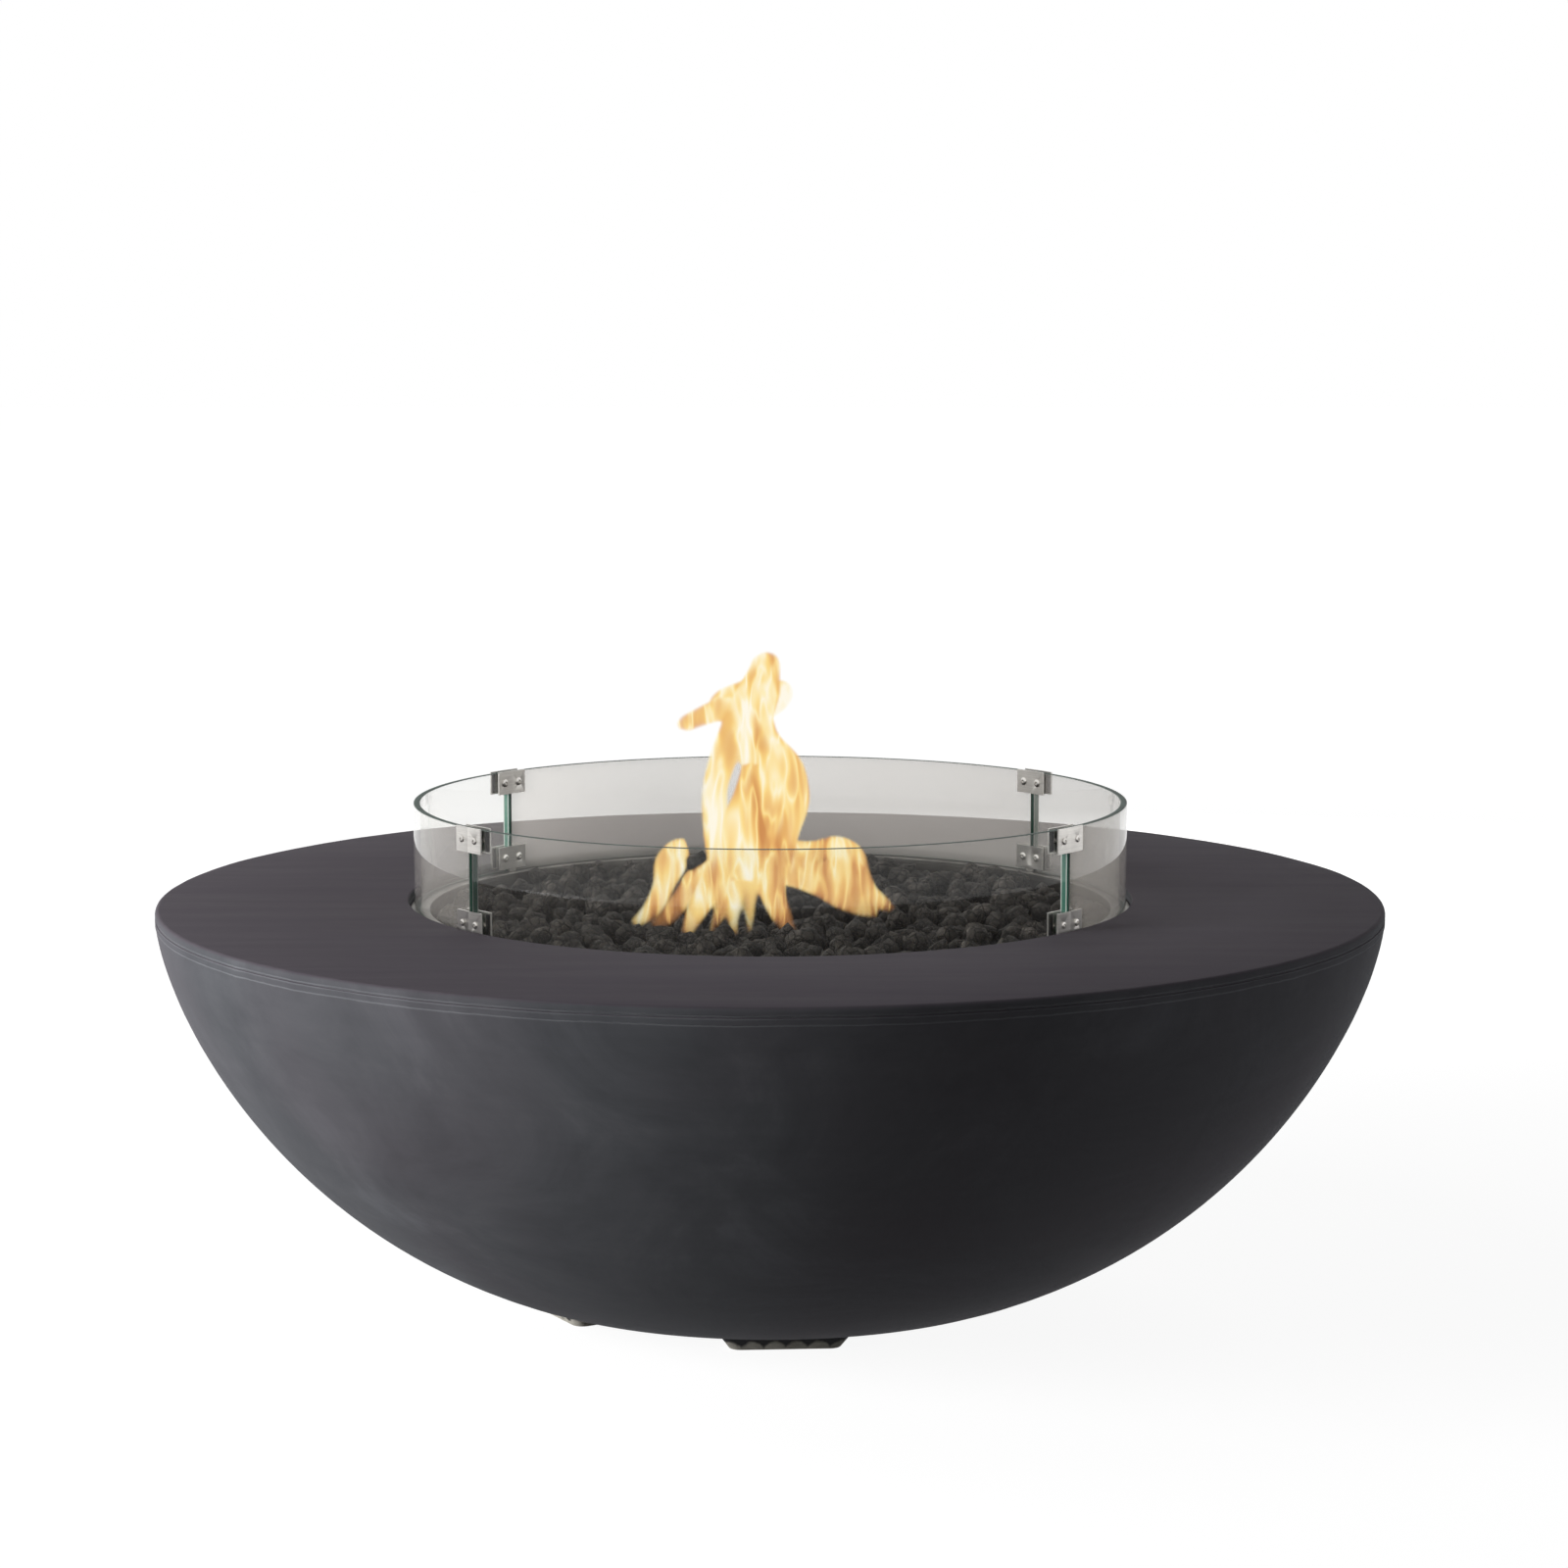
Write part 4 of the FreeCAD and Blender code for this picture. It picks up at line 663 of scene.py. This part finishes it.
finish(["dial_ring"], dial_print)


# Return springs of the valve and the igniter, wound from round wire.


def ring_of(shape, middle, first, second, sides):
    """Vertices of a ring round a middle point, first and second being its two half axes."""
    return [shape.verts.new(middle + first * math.cos(math.tau * k / sides)
                            + second * math.sin(math.tau * k / sides)) for k in range(sides)]


def skin_rings(shape, rings):
    """Closes a row of rings into a tube with flat ends."""
    for ring, following in zip(rings, rings[1:]):
        for k in range(len(ring)):
            after = (k + 1) % len(ring)
            shape.faces.new((ring[k], ring[after], following[after], following[k]))
    shape.faces.new(rings[0])
    shape.faces.new(rings[-1])


def coil(name, centre, radius, wire, turns, low, high):
    """Helix of round wire along Y from low to high, its ends cut square."""
    shape = bmesh.new()
    steps = int(turns * 20)
    rings = []
    for n in range(steps + 1):
        part = n / steps
        turn = math.tau * turns * part
        y = low + wire + (high - low - 2.0 * wire) * part
        out = Vector((math.cos(turn), 0.0, math.sin(turn)))
        middle = Vector((centre[0], y, centre[1])) + out * radius
        rings.append(ring_of(shape, middle, out * wire, Vector((0.0, wire, 0.0)), 8))
    skin_rings(shape, rings)
    return smooth(from_bmesh(name, shape))


wire_radius = 0.0004
spring_wire = metal("spring_wire", display(188, 188, 190), display(140, 140, 143), 0.25)
for name, centre, radius, turns, span, joint, travel in (
        ("valve_spring", knob_place, 0.0056, 3.5, (0.457, 0.4647), "knob_push", 0.004),
        ("igniter_spring", button_place, 0.0051, 6.0, (0.4327, 0.4477), "igniter_press", 0.003)):
    spring = coil(name + "_wire", centre, radius, wire_radius, turns, *span)
    spring.data.materials.append(spring_wire)
    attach(spring, "fire_bowl")
    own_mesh(spring)
    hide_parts(name)


# Wind guard. Four panels of curved 6 mm tempered glass with ground edges, hazed by smoke and by a
# painted reflection, the back one most. They stand on the pan's flange with a gap at each of the four joints.

glass_radius = 0.312
glass_inner = 0.306
glass_middle = (glass_radius + glass_inner) / 2.0
glass_low = 0.3418
glass_high = 0.4348
joint_angle = 37.5
half_gap = 0.00225 / glass_middle
# Amount of film on each panel, partly smoke and partly painted reflection
smoke_and_reflection_film = {"glass_back": 0.35, "glass_left": 0.10, "glass_front": 0.012, "glass_right": 0.28}


def glass_face(name, haze, pale, grey):
    """Clear glass with a thin film that is partly smoke and partly a painted reflection, pale at the left and
    thicker and greyer at the right.
    """
    made = bpy.data.materials.new(name)
    made.use_nodes = True
    tree = made.node_tree
    tree.nodes.clear()
    cloud = noise_value(tree, object_place(tree, (1.0, 1.0, 2.0)), 9.0, 4.0, 0.55)
    # Part smoke, part painted reflection; its tone and thickness grade across X as painted light.
    film = ranged(tree, cloud, 0.3, 0.7, haze * 0.97, haze * 1.03)
    greyer = ranged(tree, axes(tree, object_place(tree))["X"], -0.16, 0.30)
    tone = mixed(tree, greyer, pale, grey)
    film = maths(tree, "MULTIPLY", film, maths(tree, "MULTIPLY_ADD", greyer, 0.25, 1.0))
    clear = add(tree, "ShaderNodeBsdfTransparent", {"Color": (0.97, 0.975, 0.97, 1.0)})
    through = add(tree, "ShaderNodeBsdfTranslucent", {"Color": tone})
    back = add(tree, "ShaderNodeBsdfDiffuse", {"Color": tone})
    veil = add(tree, "ShaderNodeMixShader", {0: 0.5, 1: through.outputs[0], 2: back.outputs[0]})
    body = add(tree, "ShaderNodeMixShader", {0: film, 1: clear.outputs[0], 2: veil.outputs[0]})
    gloss = add(tree, "ShaderNodeBsdfGlossy", {"Color": (1.0, 1.0, 1.0, 1.0), "Roughness": 0.02})
    outside = maths(tree, "SUBTRACT", 1.0, add(tree, "ShaderNodeNewGeometry").outputs["Backfacing"])
    shine = maths(tree, "MULTIPLY", add(tree, "ShaderNodeFresnel", {"IOR": 1.35}).outputs[0], outside)
    surface = add(tree, "ShaderNodeMixShader", {0: shine, 1: body.outputs[0], 2: gloss.outputs[0]})
    add(tree, "ShaderNodeOutputMaterial", {"Surface": surface.outputs[0]})
    return made


def edge_material(name, dark, light, chamfer_highlight, roughness, specular):
    """Ground glass edge, with a pale line painted along both of its corners as a painted highlight."""
    made, tree, shader = new_material(name, light, roughness, specular=specular)
    tint = noise_value(tree, object_place(tree, (1, 1, 0.2)), 60.0, 3.0)
    flat = object_place(tree, (1.0, 1.0, 0.0))
    reach = add(tree, "ShaderNodeVectorMath", {0: flat}, operation="LENGTH").outputs["Value"]
    from_middle = maths(tree, "ABSOLUTE", maths(tree, "SUBTRACT", reach, glass_middle))
    # Painted highlight: a pale line along each corner of the edge.
    line = ranged(tree, from_middle, 0.0018, 0.0023)
    coloured(tree, shader, mixed(tree, line, ramp(tree, tint, (0.3, dark), (0.7, light)), chamfer_highlight))
    return made


rim_edge = edge_material("rim_edge", display(42, 56, 50), display(76, 94, 86), display(128, 136, 130),
                         0.5, 0.08)
end_edge = edge_material("end_edge", display(52, 100, 86), display(92, 140, 124), display(206, 212, 206),
                         0.2, 0.4)


def glass_panel(name, start, end, face):
    low, high, edge = glass_low, glass_high, 0.0006
    section = rounded([(glass_inner, low, edge), (glass_radius, low, edge),
                       (glass_radius, high, edge), (glass_inner, high, edge)], 2)
    panel = turned(name, section, max(24, int(abs(end - start) * 50)), start, end)
    for material in (face, rim_edge, end_edge):
        panel.data.materials.append(material)
    for polygon in panel.data.polygons:
        outward = Vector((polygon.center.x, polygon.center.y, 0.0)).normalized()
        if abs(polygon.normal.dot(outward)) < 0.9:
            polygon.material_index = 1 if abs(polygon.normal.z) > 0.5 else 2
    return smooth(panel, 40.0)


joints = [math.radians(a) for a in
          (joint_angle, 180.0 - joint_angle, 180.0 + joint_angle, 360.0 - joint_angle)]
for k, (name, haze) in enumerate(smoke_and_reflection_film.items()):
    after = joints[k + 1] if k < 3 else joints[0] + math.tau
    face = glass_face(name + "_face", haze, display(252, 246, 240), display(186, 181, 176))
    panel = glass_panel(name + "_bent", joints[k] + half_gap, after - half_gap, face)
    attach(panel, "wind_guard")
    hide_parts(name)


# Clips. Two bent plates of brushed stainless steel at the top and bottom of every joint, with
# rubber pads against the glass, two dome-headed screws through both wings and round nuts inside.

clip_steel = metal("clip_steel", display(236, 233, 228), display(204, 201, 196), 0.36, (1.0, 1.0, 30.0), 26.0)
for level in ("upper", "lower"):
    for side in ("outer", "inner"):
        node = level + "_clips_" + side
        plates = bmesh.new()
        plates.from_mesh(nodes[node].data)
        bmesh.ops.remove_doubles(plates, verts=plates.verts, dist=1e-6)
        bmesh.ops.dissolve_limit(plates, angle_limit=math.radians(1.0), verts=plates.verts,
                                 edges=plates.edges)
        piece = from_bmesh(node + "_plates", plates)
        edge = piece.modifiers.new("edges", "BEVEL")
        edge.width = 0.00035
        edge.segments = 2
        edge.limit_method = "ANGLE"
        edge.angle_limit = math.radians(30.0)
        smooth(finished_mesh(piece), 25.0)
        piece.data.materials.clear()
        piece.data.materials.append(clip_steel)
        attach(piece, "wind_guard")
        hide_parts(node)

finish(["clip_gaskets"], plastic("gasket_rubber", display(36, 36, 36), 0.7, 700.0))


def set_out_tree():
    """Puts one small piece at every point, turned as the point's own attribute says."""
    tree, given = geometry_tree("small pieces at points", {"Piece": "Object", "Size": "Float",
                                                           "Material": "Material"})
    piece = add(tree, "GeometryNodeObjectInfo", {"Object": given["Piece"]})
    turn = add(tree, "GeometryNodeInputNamedAttribute", {"Name": "turn"}, data_type="FLOAT_VECTOR")
    pieces = add(tree, "GeometryNodeInstanceOnPoints", {
        "Points": given["Geometry"], "Instance": piece.outputs["Geometry"], "Rotation": turn.outputs[0],
        "Scale": given["Size"]})
    real = add(tree, "GeometryNodeRealizeInstances", {"Geometry": pieces.outputs[0]})
    skin = add(tree, "GeometryNodeSetMaterial", {"Geometry": real.outputs[0], "Material": given["Material"]})
    add(tree, "NodeGroupOutput", {"Geometry": skin.outputs[0]})
    return tree


set_out = set_out_tree()


def at_points(name, places, pattern, size, material):
    """Copies of a pattern piece at (place, turn) pairs as one plain mesh; the pattern is used up."""
    mesh = bpy.data.meshes.new(name)
    mesh.from_pydata([place for place, turn in places], [], [])
    turns = mesh.attributes.new("turn", "FLOAT_VECTOR", "POINT")
    turns.data.foreach_set("vector", [value for place, turn in places for value in turn])
    made = grown(new_object(name, mesh), set_out, {"Piece": pattern, "Size": size, "Material": material})
    bpy.data.objects.remove(pattern)
    return made


clip_top_z = 0.4358
clip_bottom_z = 0.3445
screw_inset = 0.0105
outer_plate_depth = 0.0026
inner_plate_depth = 0.0027
screw_offset = 0.0095 / glass_middle
screw_angles = [joint + side * screw_offset for joint in joints for side in (-1, 1)]
screw_heights = (clip_top_z - screw_inset, clip_bottom_z + screw_inset)

# Radius and standing height of each corner of a screw's head
screw_profile = ((0.0029, 0.0), (0.0029, 0.0004), (0.0024, 0.0009), (0.0014, 0.00112),
                 (0.0011, 0.0011), (0.0010, 0.0004))


def dome_head():
    """Low dome with a round driver recess, its axis along +X."""
    shape = bmesh.new()
    skin_rings(shape, [ring_of(shape, Vector((out, 0.0, 0.0)), Vector((0.0, radius, 0.0)),
                               Vector((0.0, 0.0, radius)), 20) for radius, out in screw_profile])
    return smooth(from_bmesh("dome_head", shape), 50.0)


for name, radius, flip, size in (("clip_screws", glass_radius + outer_plate_depth, 0.0, 1.0),
                                 ("clip_nuts", glass_inner - inner_plate_depth, math.pi, 1.25)):
    places = [(Vector((radius * math.cos(a), radius * math.sin(a), z)), (0.0, 0.0, a + flip))
              for z in screw_heights for a in screw_angles]
    heads = at_points(name + "_domed", places, dome_head(), size, clip_steel)
    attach(heads, "wind_guard")
    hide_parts(name)


# Flame. Burning gas, not a piece of the object, so it is staged and lights nothing. Licks rise from
# between the stones and join into one tall body with a thin wisp at the left of its head.

# Stations of each lick in millimetres: x, y, z and half the width
licks = {
    "trunk, left side": ((-40, -105, 389, 13), (-45, -95, 417, 13), (-47, -90, 452, 12), (-41, -85, 477, 13),
                         (-33, -80, 496, 14), (-26, -72, 512, 15)),
    "trunk, right side": ((-2, -105, 385, 21), (-1, -95, 417, 27), (2, -90, 446, 33), (2, -85, 468, 29),
                          (-9, -80, 492, 20), (-16, -72, 516, 20), (-9, -62, 535, 19), (-5, -52, 551, 15),
                          (-3, -46, 562, 12), (-3, -44, 568, 5)),
    "trunk, front": ((-24, -125, 380, 11), (-23, -120, 404, 18), (-21, -115, 429, 20), (-17, -110, 453, 15),
                     (-15, -100, 477, 10)),
    "wisp": ((-22, -60, 519, 13), (-38, -64, 521, 12), (-53, -68, 517, 10), (-65, -72, 512, 9),
             (-73, -74, 509, 8), (-79, -76, 506, 4)),
    "shoulder": ((-12, -50, 534, 14), (-28, -53, 530, 13), (-42, -56, 527, 10), (-50, -60, 523, 6)),
    "lobe": ((-6, -48, 522, 15), (4, -42, 526, 13), (9, -38, 532, 12), (9, -36, 539, 9), (9, -35, 543, 4)),
    "first foot": ((-45, -105, 388, 14), (-52, -115, 372, 12), (-62, -125, 355, 10), (-71, -138, 337, 6)),
    "second foot": ((-34, -110, 388, 12), (-38, -122, 366, 8), (-44, -130, 350, 6), (-50, -138, 338, 3)),
    "third foot": ((-26, -112, 386, 11), (-30, -122, 364, 8), (-31, -130, 348, 6), (-29, -138, 336, 4)),
    "fourth foot": ((-15, -112, 385, 10), (-16, -122, 365, 6), (-17, -130, 350, 5), (-17, -138, 338, 3)),
    "fifth foot": ((0, -105, 385, 17), (3, -115, 367, 12), (10, -125, 351, 10), (19, -136, 337, 6)),
    "left tongue": ((-71, -62, 401, 9), (-80, -64, 397, 12), (-86, -68, 386, 15), (-91, -74, 371, 11),
                    (-96, -80, 358, 10), (-104, -86, 347, 9), (-118, -92, 338, 5)),
    "left low lick": ((-45, -100, 385, 13), (-64, -100, 377, 10), (-76, -102, 361, 10), (-87, -104, 347, 9),
                      (-101, -100, 338, 6)),
    "left knob": ((-53, -98, 373, 9), (-65, -96, 377, 8), (-73, -94, 382, 6)),
    "right tongue": ((12, -88, 398, 14), (37, -76, 399, 10), (56, -66, 400, 12), (70, -56, 391, 13),
                     (77, -46, 374, 11), (85, -38, 357, 10), (97, -30, 347, 8), (108, -22, 338, 5)),
    "right low lick": ((4, -92, 387, 15), (25, -80, 379, 13), (44, -68, 367, 11), (61, -56, 354, 10),
                       (78, -44, 344, 8), (94, -34, 338, 6)),
    "right streak": ((54, -62, 392, 11), (61, -58, 378, 11), (69, -50, 363, 10), (78, -42, 350, 8)),
    "right veil": ((14, -84, 391, 10), (33, -74, 386, 9), (50, -66, 378, 9), (60, -60, 368, 8)),
}


def lick(shape, stations):
    """Closed tube along a smooth curve through the stations, a little flat from front to back."""
    steps, sides, flatness = 4, 12, 0.7
    path = []
    last = len(stations) - 1
    for k in range(last):
        a, b, c, d = (Vector(stations[min(max(n, 0), last)]) * 0.001 for n in (k - 1, k, k + 1, k + 2))
        for n in range(steps):
            t = n / steps
            path.append(b + ((c - a) * t + (2 * a - 5 * b + 4 * c - d) * t ** 2
                             + (3 * b - a - 3 * c + d) * t ** 3) * 0.5)
    path.append(Vector(stations[-1]) * 0.001)
    rings = []
    for k, point in enumerate(path):
        along = (path[min(k + 1, len(path) - 1)] - path[max(k - 1, 0)]).to_3d().normalized()
        side = along.cross(Vector((0.0, 1.0, 0.0))).normalized() * point[3]
        rings.append(ring_of(shape, point.to_3d(), side, side.cross(along) * flatness, sides))
    skin_rings(shape, rings)


def flame_material():
    """Burning gas: pale glowing threads in an orange body that thins out towards the stones."""
    made = bpy.data.materials.new("burning_gas")
    made.use_nodes = True
    made.cycles.volume_step_rate = 0.5
    tree = made.node_tree
    tree.nodes.clear()
    depth = add(tree, "ShaderNodeAttribute", attribute_name="density").outputs["Fac"]
    rising = object_place(tree, (1.0, 0.6, 0.22))
    warp = add(tree, "ShaderNodeTexNoise", {"Vector": rising, "Scale": 30.0, "Detail": 1.0}).outputs["Color"]
    bent = add(tree, "ShaderNodeVectorMath", {0: warp, 1: (0.026, 0.026, 0.026), 2: rising},
               operation="MULTIPLY_ADD")
    hollow = noise_value(tree, bent.outputs[0], 48.0, 1.0, 0.4)
    ridge = noise_value(tree, bent.outputs[0], 100.0, 1.0, 0.4)
    ridge = maths(tree, "ABSOLUTE", maths(tree, "MULTIPLY_ADD", ridge, 2.0, -1.0))
    thread = maths(tree, "POWER", maths(tree, "SUBTRACT", 1.0, ridge), 7.0)
    height = axes(tree, object_place(tree))["Z"]
    root = ranged(tree, height, 0.334, 0.378, 0.30, 0.0)
    heat = maths(tree, "SUBTRACT", maths(tree, "MULTIPLY_ADD", hollow, 1.8, -0.60), root)
    heat = maths(tree, "ADD", heat, maths(tree, "MULTIPLY", thread, 0.42))
    heat = maths(tree, "ADD", heat, maths(tree, "MULTIPLY", depth, 0.26))
    colour = ramp(tree, heat, (0.10, display(206, 140, 84)), (0.28, display(236, 182, 110)),
                  (0.44, display(252, 216, 134)), (0.64, display(254, 238, 184)),
                  (0.88, display(255, 249, 232)))
    thick = ranged(tree, depth, 0.0, 0.35)
    thin = ranged(tree, heat, 0.0, 0.35, 0.3, 1.0)
    fade = ranged(tree, height, 0.334, 0.362, 80.0, 420.0)
    density = maths(tree, "MULTIPLY", maths(tree, "MULTIPLY", thick, thin), fade)
    glow = add(tree, "ShaderNodeEmission", {"Color": colour, "Strength": density})
    shade = add(tree, "ShaderNodeVolumeAbsorption", {"Color": (0.0, 0.0, 0.0, 1.0), "Density": density})
    both = add(tree, "ShaderNodeAddShader", {0: glow.outputs[0], 1: shade.outputs[0]})
    add(tree, "ShaderNodeOutputMaterial", {"Volume": both.outputs[0]})
    return made


shape = bmesh.new()
for stations in licks.values():
    lick(shape, stations)
flame_skin = from_bmesh("flame_skin", shape)
step = flame_skin.modifiers.new("one skin", "REMESH")
step.mode = "VOXEL"
step.voxel_size = 0.0018
step = flame_skin.modifiers.new("soft skin", "SMOOTH")
step.factor = 0.5
step.iterations = 6
finished_mesh(flame_skin)
flame_skin.hide_render = True
flame = new_object("flame", bpy.data.volumes.new("flame"))
step = flame.modifiers.new("fill", "MESH_TO_VOLUME")
step.object = flame_skin
step.resolution_mode = "VOXEL_SIZE"
step.voxel_size = 0.0015
step.interior_band_width = 0.009
flame.data.materials.append(flame_material())
flame.visible_diffuse = False
flame.visible_glossy = False
flame.visible_shadow = False


# Floor, light and camera. A plain pale floor and a white background, a large soft lamp low at the
# left, weaker ones overhead, at the right and behind, and the camera of the photograph.

floor_diffuse = 0.22
fill_strength = 0.03
light_target = Vector((0.0, 0.0, 0.25))
lamps = {
    "key": ((-2.77, -1.01, 0.75), 1.7, 114.0),
    "top": ((-1.5, 0.0, 2.6), 1.6, 10.0),
    "right": ((2.82, -1.03, 0.55), 1.5, 9.0),
    "behind": ((0.6, 2.9, 0.9), 1.5, 24.0),
}
camera_place = (0.012, -3.2, 0.859)
camera_tilt = 7.33


def seen_white(tree):
    """1 for what the camera sees, also in gloss and through glass, and 0 for what lights the object."""
    path = add(tree, "ShaderNodeLightPath").outputs
    seen = maths(tree, "MAXIMUM", path["Is Camera Ray"], path["Is Glossy Ray"])
    return maths(tree, "MAXIMUM", seen, path["Is Transmission Ray"])


floor_shape = bmesh.new()
bmesh.ops.create_grid(floor_shape, x_segments=1, y_segments=1, size=30.0)
floor = from_bmesh("floor", floor_shape, False)
floor_material = bpy.data.materials.new("pale_floor")
floor_material.use_nodes = True
tree = floor_material.node_tree
tree.nodes.clear()
soft = add(tree, "ShaderNodeBsdfDiffuse", {"Color": (floor_diffuse, floor_diffuse, floor_diffuse, 1.0)})
place = add(tree, "ShaderNodeTexCoord").outputs["Object"]
away = add(tree, "ShaderNodeVectorMath", {0: place}, operation="LENGTH").outputs["Value"]
strength = maths(tree, "MULTIPLY", seen_white(tree), ranged(tree, away, 0.9, 4.0, 0.92, 1.0))
glow = add(tree, "ShaderNodeEmission", {"Strength": strength})
both = add(tree, "ShaderNodeAddShader", {0: soft.outputs[0], 1: glow.outputs[0]})
add(tree, "ShaderNodeOutputMaterial", {"Surface": both.outputs[0]})
floor.data.materials.append(floor_material)

world = bpy.data.worlds.new("studio")
bpy.context.scene.world = world
world.use_nodes = True
tree = world.node_tree
tree.nodes.clear()
fill = add(tree, "ShaderNodeBackground", {"Color": (0.93, 0.96, 1.0, 1.0), "Strength": fill_strength})
white = add(tree, "ShaderNodeBackground", {"Color": (1.0, 1.0, 1.0, 1.0), "Strength": 1.0})
both = add(tree, "ShaderNodeMixShader", {0: seen_white(tree), 1: fill.outputs[0], 2: white.outputs[0]})
add(tree, "ShaderNodeOutputWorld", {"Surface": both.outputs[0]})

for name, (place, size, power) in lamps.items():
    light = bpy.data.lights.new(name, "AREA")
    light.shape = "DISK"
    light.size = size
    light.energy = power
    lamp = new_object(name, light)
    lamp.location = place
    lamp.rotation_euler = (light_target - Vector(place)).to_track_quat("-Z", "Y").to_euler()
    lamp.visible_camera = False
    lamp.visible_glossy = False

eye = bpy.data.cameras.new("eye")
eye.sensor_width = 36.0
eye.lens = 84.4
camera = new_object("camera", eye)
camera.location = camera_place
camera.rotation_euler = (math.radians(90.0 - camera_tilt), 0.0, 0.0)
bpy.context.scene.camera = camera
bpy.context.scene.view_settings.view_transform = "Standard"
